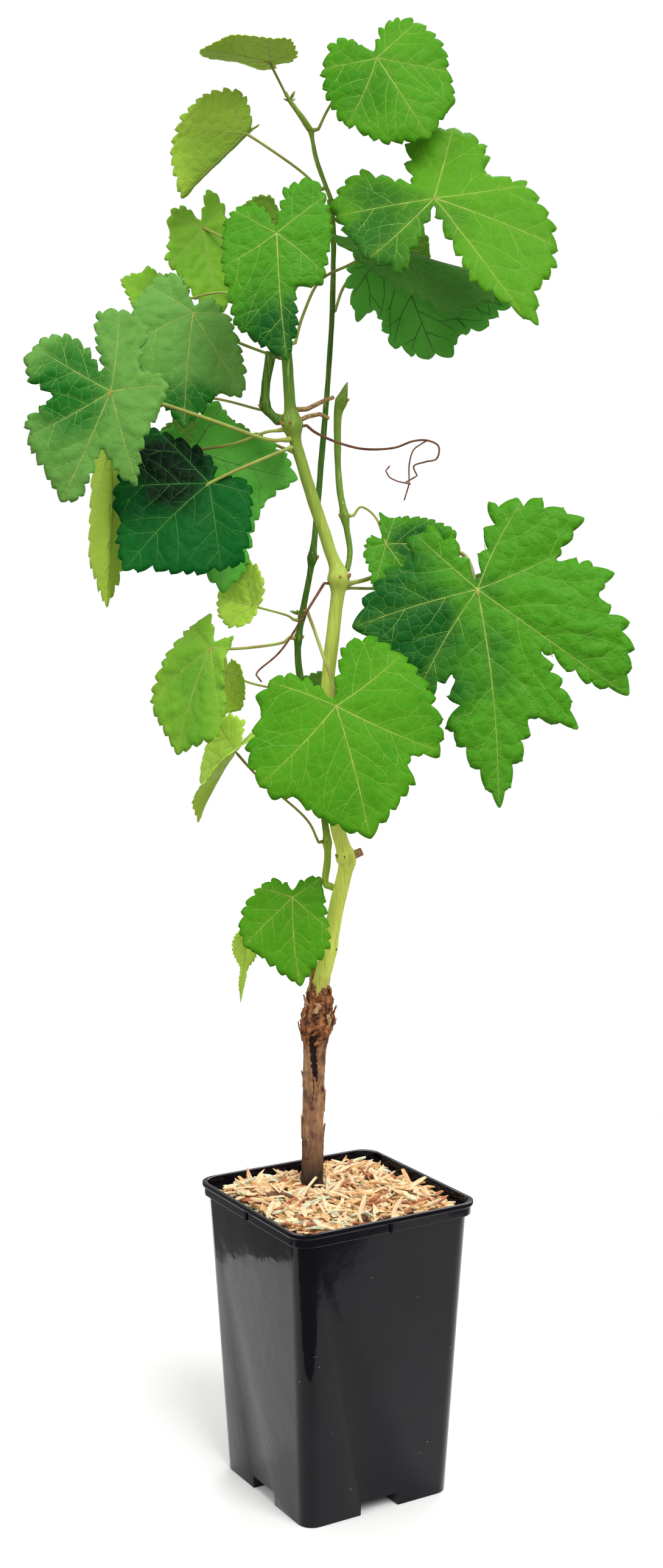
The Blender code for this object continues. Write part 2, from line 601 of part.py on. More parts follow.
def stalk_line(leaf):
    """(point, radius) along a leaf's stalk, from clear of its limb to inside the blade's root."""
    junction = Vector(leaf.junction)
    stops = [Vector(v) for v in leaf.via] + [junction]
    swollen = leaf.stalk * 1.4
    seat = seat_on(LIMBS[leaf.limb], leaf.height, stops[0], swollen)
    line = flowing(seat + stops + [junction + Vector(leaf.axis).normalized() * 3.0], 2)
    return [(point, swollen if i == 0 else leaf.stalk) for i, point in enumerate(line)]


def edge_with_teeth(edge, spacing, depth):
    """(angle, reach) round a blade: the given points, with teeth along the stretches between them."""
    made = []
    for (a0, r0), (a1, r1) in zip(edge, edge[1:]):
        start = Vector((r0 * math.cos(math.radians(a0)), r0 * math.sin(math.radians(a0))))
        stop = Vector((r1 * math.cos(math.radians(a1)), r1 * math.sin(math.radians(a1))))
        teeth = int((stop - start).length / spacing)
        made.append((math.radians(a0), r0))
        for half in range(1, 2 * teeth):
            point = start.lerp(stop, half / (2 * teeth))
            scale = 1.0 - depth if half % 2 else 1.0 + depth
            made.append((math.radians(a0) + start.angle_signed(point) * -1.0, point.length * scale))
    made.append((math.radians(edge[-1][0]), edge[-1][1]))
    return made


def blade_outline(leaf):
    """The whole outline: the edge, closed behind the junction by the bottom of the notch for the stalk."""
    middle = math.radians((leaf.edge[0][0] + leaf.edge[-1][0]) / 2 + 180.0)
    return edge_with_teeth(leaf.edge, TOOTH_SPACING, TOOTH_DEPTH) + [(middle, SINUS_REACH)]


def blade_point(leaf, along, side):
    """Where a point of the flat blade lies once the blade is folded, cupped, twisted and bent down."""
    length = max(reach for _, reach in leaf.edge)
    fold = math.radians(leaf.fold)
    soft = FOLD_SOFTNESS * length
    lift = math.sin(fold) * (math.hypot(side, soft) - soft)
    across = side * math.cos(fold)
    lift -= leaf.cup * side * side / length
    lift += leaf.wave * math.hypot(along, side) * math.sin(EDGE_WAVES * math.atan2(side, along) + length)
    turn = math.radians(leaf.twist) * along / length
    across, lift = (across * math.cos(turn) - lift * math.sin(turn),
                    across * math.sin(turn) + lift * math.cos(turn))
    bend = math.radians(leaf.droop) / length
    if abs(bend) > 1e-6:
        forward = math.sin(bend * along) / bend + lift * math.sin(bend * along)
        lift = (math.cos(bend * along) - 1.0) / bend + lift * math.cos(bend * along)
    else:
        forward = along
    axis = Vector(leaf.axis).normalized()
    face = Vector(leaf.face)
    face = (face - axis * face.dot(axis)).normalized()
    return Vector(leaf.junction) + axis * forward + face.cross(axis) * across + face * lift


def build_leaf(name, leaf, finish, parent):
    """Stalk and blade of one leaf, joined."""
    outline = blade_outline(leaf)
    length = max(reach for _, reach in leaf.edge)
    points = [blade_point(leaf, 0.0, 0.0)]
    for share in BLADE_RINGS:
        for angle, reach in outline:
            far = share * reach
            points.append(blade_point(leaf, far * math.cos(angle), far * math.sin(angle)))
    count = len(outline)
    faces = [(0, 1 + i, 1 + (i + 1) % count) for i in range(count)]
    for ring in range(len(BLADE_RINGS) - 1):
        low = 1 + ring * count
        for i in range(count):
            j = (i + 1) % count
            faces.append((low + i, low + count + i, low + count + j, low + j))
    blade = add_object(name, points, faces, finish, parent)
    solid = blade.modifiers.new("thickness", "SOLIDIFY")
    solid.thickness = max(THINNEST_BLADE, BLADE_THICKNESS_SHARE * length) * MM
    solid.offset = 0.0
    apply_modifiers(blade)
    stalk = add_object(name + "_stalk", *tube(stalk_line(leaf), STALK_SIDES), finish, parent)
    boolean(blade, [stalk], "UNION")
    return blade


def build_tendril(name, strands, finish, parent):
    first, *others = [build_limb(name, strand, finish, parent) for strand in strands]
    if others:
        boolean(first, others, "UNION")
    return first


def main():
    for item in list(bpy.data.objects):
        bpy.data.objects.remove(item, do_unlink=True)
    plastic = material("black_plastic", (0.012, 0.012, 0.016), 0.28)
    chips = material("wood_chips", (0.55, 0.38, 0.22), 0.9)
    bark = material("bark", (0.14, 0.09, 0.06), 0.85)
    cane = material("green_cane", (0.30, 0.42, 0.10), 0.5)
    leaf = material("leaf", (0.07, 0.28, 0.03), 0.5)
    dry = material("tendril", (0.22, 0.10, 0.06), 0.7)

    build_pot(plastic)
    build_filling(chips)
    vine = bpy.data.objects.new("vine", None)
    bpy.context.scene.collection.objects.link(vine)
    vine.rotation_euler = (0.0, 0.0, VINE_TURN)
    for name, limb in LIMBS.items():
        made = build_limb(name, limb, bark if limb is TRUNK else cane, vine)
        if limb is MAIN_CANE:
            stubs = [build_limb("stub", stub, cane, vine) for stub in CUT_STUBS]
            boolean(made, stubs, "UNION")
    for name, strands in TENDRILS.items():
        build_tendril(name, strands, dry, vine)
    for name, spec in LEAVES.items():
        build_leaf(name, spec, leaf, vine)


main()
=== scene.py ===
"""The looks of a young potted grapevine: its pot, chips, bark, canes and leaves.

It is laid out as an add-on and run as a script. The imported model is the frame, and every piece is made
in that frame: metres, +Z up, the pot on Z = 0. The vine is set in the pot with its broad side turned
towards one corner, so its own points are given in millimetres as (across, away, up) and turned once.
"""

import bisect
import math
import random
from collections import namedtuple
from itertools import accumulate

import bpy
from mathutils import Euler, Matrix, Vector, noise
from mathutils.bvhtree import BVHTree
from mathutils.geometry import delaunay_2d_cdt
from mathutils.kdtree import KDTree


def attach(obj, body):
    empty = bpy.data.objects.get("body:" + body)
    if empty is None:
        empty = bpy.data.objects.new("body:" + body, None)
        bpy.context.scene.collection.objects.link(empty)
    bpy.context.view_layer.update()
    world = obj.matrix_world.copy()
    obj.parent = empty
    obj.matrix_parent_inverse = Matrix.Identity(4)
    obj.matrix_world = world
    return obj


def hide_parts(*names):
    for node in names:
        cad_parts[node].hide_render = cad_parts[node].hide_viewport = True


bl_info = {
    "name": "Potted Grapevine",
    "version": (1, 0, 0),
    "blender": (4, 5, 0),
    "location": "3D View > Sidebar > Grapevine",
    "description": "Models a young grapevine in its pot, piece by piece",
    "category": "Add Mesh",
}

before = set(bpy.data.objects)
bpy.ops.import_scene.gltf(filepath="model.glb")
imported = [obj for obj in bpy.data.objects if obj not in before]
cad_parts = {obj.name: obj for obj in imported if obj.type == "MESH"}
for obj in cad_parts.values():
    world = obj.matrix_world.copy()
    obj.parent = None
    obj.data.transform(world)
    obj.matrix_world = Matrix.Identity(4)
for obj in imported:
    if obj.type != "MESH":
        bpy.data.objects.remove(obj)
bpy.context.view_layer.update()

MM = 0.001
GAP = 0.3
VINE_TURN = math.radians(-30.9)
TO_WORLD = Matrix.Rotation(VINE_TURN, 4, "Z") @ Matrix.Scale(MM, 4)

# Pot and filling, in millimetres: all but the small sizes of ribs and chips are as the frame has them
POT_HEIGHT = 195.0
LIP_HALF = 67.0
LIP_LOW = POT_HEIGHT - 3.2
BAND_HALF = 65.8
BAND_LOW = POT_HEIGHT - 9.5
RIB_DEPTH = 0.75
RIB_WIDTH = 2.2
BODY_HALF = 63.2
FOOT_HALF = 53.8
FOOT_CORNER = 10.0
WALL = 1.6
FLOOR = 2.4
NOTCH_WIDTH = 27.5
NOTCH_HEIGHT = 8.5
NOTCH_DEPTH = 16.0
FILL_EDGE = 187.0
FILL_TOP = 191.5
FILL_SLOPE = 0.4
MIX_CORNER = 9.0
MIX_STEPS = 70
CHIP_LENGTHS = ((5, 10), (8, 15), (12, 23))

# Leaves and shoots
SINUS_REACH = 4.5
FOLD_SOFTNESS = 0.08
EDGE_WAVES = 5.0
EDGE_WAVE_DEPTH = 0.02
SEAT_RUN = 2.5
RIM_POINTS = 12
KNUCKLE_STEPS = (-1.3, 0.0, 1.3)
LIMB_STEP = 2.5
POINT_RUN = 9.0
BLADE_THICKNESS = 0.45
EDGE_STEP = 0.8
EDGE_SMOOTHING = 9
VEIN_STEP = 2.0

# How far the colour of a shoot wanders up and down, in millimetres
BLUSH_DRIFT = 60

# Leaf sizes that follow from a leaf's length: a share of it, and the least and the most in millimetres.
# The grid of a blade has this many steps along the leaf, unless they get smaller or larger than its sizes.
TOOTH_DEPTH = (0.042, 0.9, 4.4)
TOOTH_WIDTH = (0.125, 3.2, 11.5)
VEIN_SPACING = (0.2, 6.0, 27.0)
GRID_STEPS = 40
GRID_SIZE = (1.3, 2.4)

# The radii of the veins of a leaf of at least this length, in millimetres
LARGE_LEAF = 90
MIDRIB_RADIUS = 0.7
MAIN_RIB_RADIUS = 0.58
SIDE_RIB_RADIUS = 0.33
RIB_END_RADIUS = 0.25

# Zones of the woody stem, as the heights in millimetres between which each one sets in
GRAFT_LUMPS = (282, 300)
FOOT_LUMPS = (214, 198)
SPLIT_FOOT = (243, 250)
SPLIT_HEAD = (304, 296)
SPLIT_OPENING = (246, 302)

# The top of the bark, which laps over the foot of the cane
COLLAR = [(Vector((-10.9, 8.0, z)), radius) for z, radius in ((323.5, 7.7), (325.5, 6.9), (327, 4.8))]

# Loose strips of bark round the graft and on the shank: how many, between which heights their feet lie,
# and how long, how wide and how far curled out they are
LOOSE_BARK = (
    (30, (288, 320), (5, 15), (2, 5), (0.6, 3.4)),
    (12, (200, 270), (8, 22), (1.5, 3.5), (0.3, 1.6)),
)
STRIP_TOP = 333
STRIP_STEPS = 9

# The camera and the table under the pot: angles in degrees, distances in metres, the lens in millimetres
CAMERA_TURN = -30.87
CAMERA_RISE = 7.25
CAMERA_DISTANCE = 1.307
CAMERA_AIM_HEIGHT = 0.4584
CAMERA_AIM_LEFT = 0.00285
CAMERA_LENS = 47.76
CAMERA_SENSOR = 36.0
TABLE_NEAR = 0.15
TABLE_LEFT = 0.27
TABLE_RIGHT = 0.34
TABLE_FAR = 4.0

# Each light: its turn from the camera's side, its height in degrees and its share of the key's power
LIGHTS = {"key": (32, 48, 1.0), "side": (-55, 35, 0.35), "back": (170, 40, 0.4)}
LIGHT_WIDTH = 34

Limb = namedtuple("Limb", "bends base tip knuckles sides seat pointed", defaults=((), 8, None, False))
Leaf = namedtuple(
    "Leaf",
    "limb height via junction axis face edge fold droop cup twist stalk",
    defaults=(0.0, 12.0, 0.0, 0.0, 1.2),
)

# Woody stem: flared foot, straight shank and the swollen graft union at its head
TRUNK_TOP = 322
TRUNK = Limb(
    bends=((-15.3, 12, FILL_TOP + GAP), (-15.3, 12, 200), (-14.9, 11.5, 225), (-14.4, 10.5, 265),
           (-12.8, 9, 300), (-10.9, 8, 315), (-10.9, 8, TRUNK_TOP)),
    base=6.9, tip=7.2, knuckles=((191, 2.4, 6), (303, 3.4, 11)),
)

# Green canes and shoots: the bends they pass through, their radii at both ends, and their swollen joints
# as (height, added radius, reach). A side shoot starts on the limb and at the height that its seat names.
MAIN_CANE = Limb(
    bends=((-10.9, 8, TRUNK_TOP + GAP), (-10.9, 8, 326), (-6.3, 3, 344), (-0.5, 0, 376), (5.6, -2, 403),
           (6.2, -2, 412), (0.4, -2, 435), (-3.5, -2, 475), (-5.7, -2, 514), (-1.2, -2, 559), (1.5, -2, 587),
           (-5.1, -2, 608), (-20, -3, 654), (-26.9, -4, 681), (-29.8, -3, 717), (-32, -1, 742),
           (-27.5, 0, 761)),
    base=5.2, tip=3.1,
    knuckles=((322, 2.0, 7), (353, 0.8, 3), (412, 1.9, 4.5), (587, 3.2, 6), (681, 3.2, 6)), sides=10,
)
LONG_SHOOT = Limb(
    seat=("main_cane", 391),
    bends=((-7, 5, 396), (-5.4, 7, 420), (-14, 11, 475), (-23.8, 15, 534), (-21.4, 16, 563),
           (-15, 17, 599), (-10.7, 23, 643), (-3.4, 24, 733), (-1.5, 18, 790), (-3.5, 14, 818)),
    base=2.3, tip=1.6, knuckles=((420, 0.9, 3), (549, 1.0, 3), (563, 0.8, 3), (599, 1.5, 4), (818, 0.8, 3)),
)
TIP_SHOOT = Limb(
    bends=((-3.6, 13.9, 818.8), (-5.6, 13, 824), (-12.3, 10, 842), (-15.3, 10, 858), (-28.5, 8, 876)),
    base=1.6, tip=1.1, knuckles=((858, 0.7, 3), (876, 0.4, 3)), sides=6,
)
RIGHT_SHOOT = Limb(
    seat=("main_cane", 591),
    bends=((8.6, 8, 604), (5.3, 10, 625), (1.5, 15, 650), (1.1, 22, 685), (3.4, 22, 697), (7, 22, 708)),
    base=1.7, tip=2.4, knuckles=((625, 1.2, 4), (697, 1.6, 6)), pointed=True,
)
SPUR = Limb(
    seat=("main_cane", 684),
    bends=((-39.5, -1, 687), (-43.6, 0, 693), (-43, 0, 706), (-39.9, 0, 725)),
    base=2.4, tip=3.0, knuckles=((693, 1.1, 4), (725, 0.5, 4)),
)
LIMBS = {
    "main_cane": MAIN_CANE,
    "long_shoot": LONG_SHOOT,
    "tip_shoot": TIP_SHOOT,
    "right_shoot": RIGHT_SHOOT,
    "spur": SPUR,
}

# Cut stubs that stay on the main cane's joints, each sunk into the cane
CUT_STUBS = (
    Limb(bends=((5, -2, 412), (11, -2, 413.5), (16.5, -2, 416)), base=3.2, tip=2.6),
    Limb(bends=((-26, -3, 690), (-18, 0, 690.5), (-8, 3, 695.5), (-1.5, 5, 698)), base=1.6, tip=1.2),
    Limb(bends=((-24, -4, 683), (-17, -3, 686), (-10, -1, 687.5), (-4.5, 1, 685)), base=1.5, tip=1.2),
)

# Unopened young leaves at the tip and in one joint: (limb, place, the way they point, size)
SPROUTS = (
    ("tip_shoot", (-28.5, 8, 875.5), (-0.35, 0, 1), 0.9),
    ("tip_shoot", (-28.2, 8, 875.5), (0.5, -0.3, 0.8), 1.0),
    ("tip_shoot", (-28.5, 7.6, 874.5), (0.9, 0.2, 0.5), 0.7),
    ("tip_shoot", (-28.8, 8.2, 875), (-0.9, 0.2, 0.5), 0.6),
    ("long_shoot", (-22.5, 16, 564), (-1, -0.2, 0.35), 1.1),
    ("long_shoot", (-22.5, 15.6, 563.5), (-0.5, -0.6, 0.8), 0.8),
)

# Tendrils: a first strand from the cane, and the strands that fork from it
TENDRILS = {
    "long_tendril": (
        Limb(seat=("main_cane", 679),
             bends=((-12, 1, 676), (1, 6, 670.5), (17, 5, 666.5), (35, 3, 667), (47, 0, 671),
                    (56, 0, 671.5), (63, 0, 668), (62, 1, 660.5), (55, 2, 658.5), (48, 2, 656), (50, 2, 650),
                    (43, 1, 646)),
             base=0.9, tip=0.45),
        Limb(bends=((56, 0, 671.5), (53, -1, 669.8), (47.5, -2, 665.5), (45, -2, 657), (45, -1.5, 645),
                    (42, -1, 635)),
             base=0.45, tip=0.45),
        Limb(bends=((45.2, -1.5, 645), (38, -2, 646.5), (33, -2, 649), (30.5, -2, 653), (33, -2, 656)),
             base=0.45, tip=0.45),
    ),
    "low_tendril": (
        Limb(seat=("main_cane", 584),
             bends=((-20, -9, 564), (-34, -11, 543), (-47, -12, 531.5), (-49.5, -12, 528),
                    (-46, -12, 523.5)),
             base=0.9, tip=0.5),
    ),
}


def heart(length, cut=0.0):
    """The edge of a vine leaf from its midrib's length: a heart, with more or less cut between its lobes."""
    tips = ((25, 0.84 - cut), (50, 0.84), (76, 0.72 - cut), (103, 0.68), (130, 0.56), (155, 0.42))
    side = [(angle, length * reach) for angle, reach in tips]
    return [(-a, r) for a, r in reversed(side)] + [(0, length)] + side


# Leaves: the limb and height each one grows from (no height: from its tip), the points its stalk passes,
# the junction of stalk and blade, the way its midrib and its upper side point, and its edge as (degrees
# from the midrib, reach). Positive degrees turn anticlockwise, seen from the upper side.
LEAVES = {
    "leaf_top_left": Leaf(
        "tip_shoot", None, (), (-40, -2, 896), (-0.80, -0.58, 0.10), (0.05, 0.16, 0.98),
        ((-150, 10), (-100, 16), (-50, 30), (-20, 42), (0, 50), (28, 44), (52, 38), (80, 30), (110, 21),
         (150, 12)),
        fold=8, droop=8, stalk=0.8,
    ),
    "leaf_top_right": Leaf(
        "tip_shoot", 858, ((-3, 6, 873), (12, -8, 888)), (24, -22, 894),
        (0.55, -0.22, -0.81), (0.13, -0.93, 0.34),
        ((-158, 22), (-140, 29), (-107, 34), (-82, 40), (-60, 47), (-29, 53), (-14, 54), (0, 58),
         (15, 53), (32, 53), (66, 43), (84, 41), (108, 38), (124, 32), (140, 21)),
        droop=10, cup=0.10, stalk=0.9,
    ),
    "leaf_high_left": Leaf(
        "tip_shoot", 825, ((-22, 7, 834), (-42, 1, 847)), (-55, 0, 855),
        (-0.73, 0.0, -0.68), (-0.52, 0.64, 0.56),
        ((-155, 10), (-128, 17), (-98, 30), (-57, 42), (-28, 46), (0, 55), (15, 51), (28, 48), (57, 43),
         (84, 36), (110, 30), (128, 25), (155, 9)),
        fold=50, droop=0, stalk=0.9,
    ),
    "leaf_high_right": Leaf(
        "long_shoot", 813, ((12, 4, 806), (36, -10, 798), (52, -21, 802)), (58, -30, 812),
        (0.23, 0.46, 0.86), (0.0, -0.88, 0.47),
        ((-160, 14), (-146, 60), (-131, 102), (-122, 84), (-108, 83), (-90, 74), (-63, 57), (-44, 37),
         (-34, 45), (-21, 53), (0, 55), (33, 45), (50, 26), (66, 16), (78, 48), (92, 57), (106, 62),
         (128, 57), (147, 58), (172, 54), (178, 22)),
        cup=0.12, stalk=1.1,
    ),
    "leaf_high_right_folded": Leaf(
        "main_cane", 730, ((-20, 2, 748), (-10, 4, 768), (8, 8, 778), (22, 8, 785)), (33, 8, 788),
        (0.957, 0.0, -0.289), (-0.289, 0.0, -0.957),
        ((-150, 22), (-125, 36), (-110, 44), (-96, 58), (-88, 45), (-78, 65), (-64, 73), (-48, 80),
         (-40, 70), (-32, 78), (-17, 82), (0, 88), (18, 71), (42, 59), (67, 34), (92, 26), (140, 28),
         (168, 40)),
        fold=70, droop=6, stalk=1.0,
    ),
    "leaf_centre_upper": Leaf(
        "main_cane", 744, ((-37, -12, 752), (-37, -30, 770)), (-35, -44, 790),
        (0.08, -0.24, -0.97), (0.0, -0.97, 0.24),
        ((-160, 18), (-147, 25), (-124, 30), (-107, 32), (-76, 34), (-61, 38), (-29, 60), (-11, 68),
         (0, 76), (8, 58), (14, 34), (37, 41), (56, 34), (90, 33), (120, 36), (136, 40), (149, 38),
         (167, 28)),
        droop=10, cup=0.08, stalk=1.1,
    ),
    "leaf_left_pale": Leaf(
        "main_cane", 757, ((-52, 14, 778), (-68, 26, 795)), (-83, 34, 804),
        (0.17, -0.17, -0.97), (0.20, -0.96, 0.21),
        ((-148, 17), (-126, 22), (-100, 24), (-86, 22), (-55, 35), (-35, 36), (-12, 49), (0, 57),
         (10, 50), (30, 34), (60, 22), (95, 16), (126, 20), (153, 24), (166, 25)),
        fold=12, droop=8, stalk=0.9,
    ),
    "leaf_left_small": Leaf(
        "main_cane", 738, ((-50, 8, 752), (-68, 14, 762), (-92, 22, 759)), (-105, 32, 756),
        (-0.86, 0.1, 0.48), (-0.17, -0.97, 0.17),
        ((-150, 12), (-110, 18), (-70, 20), (-44, 21), (-34, 29), (-20, 27), (-14, 31), (0, 36), (32, 22),
         (60, 24), (100, 22), (150, 12)),
        droop=6, stalk=0.9,
    ),
    "leaf_left_grey": Leaf(
        "main_cane", 722, ((-43, 10, 725), (-68, 9, 735)), (-87, -4, 748),
        (-0.07, -0.28, -0.96), (0.07, -0.96, 0.28),
        ((-158, 26), (-135, 33), (-118, 33), (-91, 37), (-60, 42), (-30, 54), (0, 72), (12, 60), (22, 52),
         (34, 60), (45, 50), (65, 31), (90, 22), (114, 17), (147, 14)),
        droop=8, cup=0.06, stalk=1.0,
    ),
    "leaf_far_left": Leaf(
        "main_cane", 673, ((-44, -18, 672), (-80, -32, 684), (-112, -42, 694)), (-133, -50, 698),
        (-0.39, -0.06, -0.92), (-0.17, -0.98, 0.14),
        ((-129, 30), (-120, 45), (-108, 55), (-89, 60), (-76, 52), (-65, 35), (-52, 57), (-36, 61),
         (-20, 62), (-4, 72), (5, 66), (9, 48), (12, 33), (28, 50), (37, 58), (48, 42), (66, 33),
         (84, 32), (118, 35), (133, 31), (145, 21), (160, 25), (172, 44), (188, 48), (204, 50), (216, 48),
         (222, 30)),
        droop=14, cup=0.12, stalk=1.3,
    ),
    "leaf_far_left_hanging": Leaf(
        "main_cane", 687, ((-48, 12, 691), (-85, 44, 700), (-118, 20, 690)), (-137, -8, 672),
        (-0.04, 0.0, -1.0), (0.0, 1.0, 0.05),
        ((-150, 12), (-105, 18), (-60, 24), (-36, 42), (-20, 68), (-10, 86), (0, 103), (12, 90), (26, 82),
         (38, 60), (60, 42), (105, 30), (150, 14)),
        fold=66, droop=4, stalk=0.9,
    ),
    "leaf_left_dark": Leaf(
        "main_cane", 668, ((-42, -14, 661), (-60, -23, 653)), (-77, -24, 645),
        (-0.66, -0.36, -0.66), (0.10, -0.91, 0.41),
        ((-160, 13), (-126, 24), (-96, 50), (-84, 52), (-62, 52), (-45, 57), (-33, 60), (-24, 58),
         (-14, 67), (0, 76), (10, 66), (24, 61), (40, 57), (64, 55), (81, 40), (110, 28), (132, 26),
         (155, 16)),
        droop=10, cup=0.06, stalk=1.1,
    ),
    "leaf_left_behind": Leaf(
        "main_cane", 679, ((-44, -6, 676), (-64, -3, 669)), (-89, 12, 666),
        (0.22, -0.20, -0.95), (0.13, -0.94, 0.31),
        ((-155, 20), (-110, 30), (-75, 38), (-45, 52), (-22, 66), (-6, 79), (0, 91), (12, 82), (28, 60),
         (44, 55), (64, 68), (76, 60), (90, 48), (112, 32), (142, 36), (158, 30)),
        droop=10, cup=0.06, stalk=1.0,
    ),
    "leaf_mid_pale": Leaf(
        "long_shoot", 560, ((-32, 12, 564),), (-52, 2, 570), (-0.76, 0.62, 0.21), (-0.54, -0.77, 0.34),
        ((-150, 8), (-110, 16), (-82, 25), (-61, 32), (-34, 35), (-15, 33), (0, 34), (30, 25), (64, 21),
         (100, 14), (150, 7)),
        fold=15, stalk=0.8,
    ),
    "leaf_mid_left": Leaf(
        "long_shoot", 549, ((-36, 10, 546), (-60, -8, 544)), (-77, -20, 545),
        (-0.35, -0.04, -0.94), (-0.46, -0.86, 0.21),
        ((-158, 22), (-130, 20), (-96, 24), (-62, 33), (-40, 51), (-33, 57), (-18, 60), (0, 70), (10, 61),
         (26, 56), (36, 40), (50, 20), (94, 12), (135, 18)),
        droop=12, cup=0.10, stalk=1.0,
    ),
    "leaf_mid_left_edge": Leaf(
        "long_shoot", 516, ((-38, 18, 517), (-56, 20, 521)), (-69, 20, 528),
        (-0.10, 0.42, -0.90), (0.90, 0.35, 0.25),
        heart(32), fold=12, stalk=0.8,
    ),
    "leaf_low_edge": Leaf(
        "long_shoot", 421, ((-20, 4, 437), (-48, -5, 463)), (-63, -9, 480),
        (-0.55, -0.12, -0.83), (-0.80, -0.28, 0.53),
        heart(50), fold=20, droop=10, twist=30, stalk=0.9,
    ),
    "leaf_centre_heart": Leaf(
        "long_shoot", 566, ((-14, 4, 556), (-9, -16, 543), (-2, -38, 524)), (0, -52, 512),
        (0.25, -0.27, -0.93), (0.0, -0.96, 0.28),
        ((-150, 24), (-136, 39), (-112, 49), (-100, 45), (-79, 60), (-65, 65), (-48, 68), (-39, 60),
         (-27, 66), (-12, 74), (0, 82), (13, 72), (30, 66), (42, 53), (49, 69), (64, 66), (84, 58),
         (100, 54), (123, 51), (142, 48), (160, 38)),
        droop=10, cup=0.05, stalk=1.1,
    ),
    "leaf_right_small": Leaf(
        "right_shoot", 625, ((16, 12, 631), (25, 11, 624)), (31, 5, 608),
        (0.52, -0.20, -0.83), (0.07, -0.95, 0.31),
        ((-150, 12), (-103, 15), (-80, 17), (-62, 20), (-46, 32), (-20, 35), (0, 43), (30, 45), (57, 44),
         (71, 45), (90, 33), (117, 22), (144, 17), (160, 22)),
        droop=8, stalk=0.8,
    ),
    "leaf_right_large": Leaf(
        "main_cane", 584, ((22, 14, 587), (50, 27, 598), (79, 20, 602)), (86, -26, 581),
        (0.10, -0.20, -0.98), (-0.02, -0.97, 0.21),
        ((-163, 30), (-150, 48), (-132, 53), (-120, 44), (-109, 56), (-90, 70), (-79, 79), (-62, 68),
         (-44, 76), (-30, 72), (-22, 53), (-17, 88), (-7, 108), (0, 134), (8, 106), (12, 98), (16, 84),
         (30, 105), (36, 80), (40, 53), (44, 90), (49, 112), (63, 100), (72, 92), (81, 73), (91, 84),
         (99, 70), (105, 51), (118, 79), (144, 65), (165, 54)),
        droop=12, cup=0.05, stalk=1.5,
    ),
    "leaf_low_left": Leaf(
        "long_shoot", 396, ((-18, -2, 396), (-25, -12, 394)), (-27, -22, 390),
        (0.08, -0.21, -0.97), (-0.07, -0.98, 0.21),
        ((-158, 12), (-135, 18), (-106, 24), (-83, 32), (-65, 39), (-50, 43), (-32, 42), (-14, 48),
         (0, 56), (9, 48), (34, 38), (49, 27), (88, 20), (124, 22), (150, 13)),
        droop=8, cup=0.05, stalk=1.0,
    ),
    "leaf_low_tiny": Leaf(
        "main_cane", 354, ((-20, 4, 362), (-38, 6, 366)), (-57, 3, 362),
        (-0.08, -0.10, -0.99), (0.0, -0.98, 0.17),
        ((-90, 7), (-50, 12), (-28, 17), (-7, 22), (-6, 33), (0, 46), (6, 33), (7, 22), (28, 17),
         (50, 12), (90, 7)),
        fold=10, twist=70, stalk=0.7,
    ),
    "leaf_back_low": Leaf(
        "long_shoot", 500, ((-14, 32, 512), (-4, 54, 516)), (6, 64, 508),
        (0.20, 0.22, -0.95), (0.10, 0.93, 0.30),
        heart(54, cut=0.08), droop=14, cup=0.1, stalk=1.1,
    ),
    "leaf_back_left": Leaf(
        "main_cane", 664, ((-34, 22, 668), (-60, 50, 678)), (-84, 66, 672),
        (-0.15, 0.20, -0.94), (-0.15, 0.93, 0.30),
        heart(46, cut=0.08), droop=14, cup=0.1, stalk=1.1,
    ),
    "leaf_back_right": Leaf(
        "long_shoot", 752, ((6, 38, 770), (22, 51, 787)), (36, 58, 792),
        (0.20, 0.22, -0.92), (0.20, 0.93, 0.30),
        heart(38, cut=0.08), droop=14, cup=0.1, stalk=1.0,
    ),
    "leaf_back_top": Leaf(
        "main_cane", 758, ((-22, 22, 776), (-30, 48, 806)), (-36, 57, 812),
        (-0.12, 0.24, -0.96), (-0.15, 0.93, 0.30),
        heart(38), droop=14, cup=0.1, stalk=0.9,
    ),
    "leaf_back_right_low": Leaf(
        "main_cane", 581, ((24, 24, 580), (54, 46, 580)), (80, 56, 568),
        (0.20, 0.22, -0.95), (0.15, 0.93, 0.30),
        heart(52, cut=0.08), droop=14, cup=0.1, stalk=1.1,
    ),
}


def loft(rings):
    """Points and faces of a closed solid through rings of equal count, with a flat face at each end."""
    count = len(rings[0])
    points = [p for ring in rings for p in ring]
    faces = [tuple(reversed(range(count)))]
    for low in range(0, len(points) - count, count):
        for i in range(count):
            j = (i + 1) % count
            faces.append((low + i, low + j, low + count + j, low + count + i))
    faces.append(tuple(range(len(points) - count, len(points))))
    return points, faces


def through(points, steps):
    """A smooth curve through the points, with a number of steps from each to the next."""
    ends = [2 * points[0] - points[1]] + list(points) + [2 * points[-1] - points[-2]]
    curve = []
    for before, start, stop, after in zip(ends, ends[1:], ends[2:], ends[3:]):
        for step in range(steps):
            t = step / steps
            curve.append(0.5 * (2 * start + (stop - before) * t
                                + (2 * before - 5 * start + 4 * stop - after) * t * t
                                + (3 * start - before - 3 * stop + after) * t ** 3))
    return curve + [points[-1]]


def flowing(bends, steps):
    """A smooth curve through the bends whose first and last stretches are straight."""
    if len(bends) < 4:
        return list(bends)
    return [bends[0]] + through(bends[1:-1], steps) + [bends[-1]]


def clamp(value, low=0.0, high=1.0):
    """The value, or the nearer limit where it lies outside of them."""
    return min(high, max(low, value))


def run_along(points):
    """How far along a line each of its points lies."""
    return list(accumulate(((b - a).length for a, b in zip(points, points[1:])), initial=0.0))


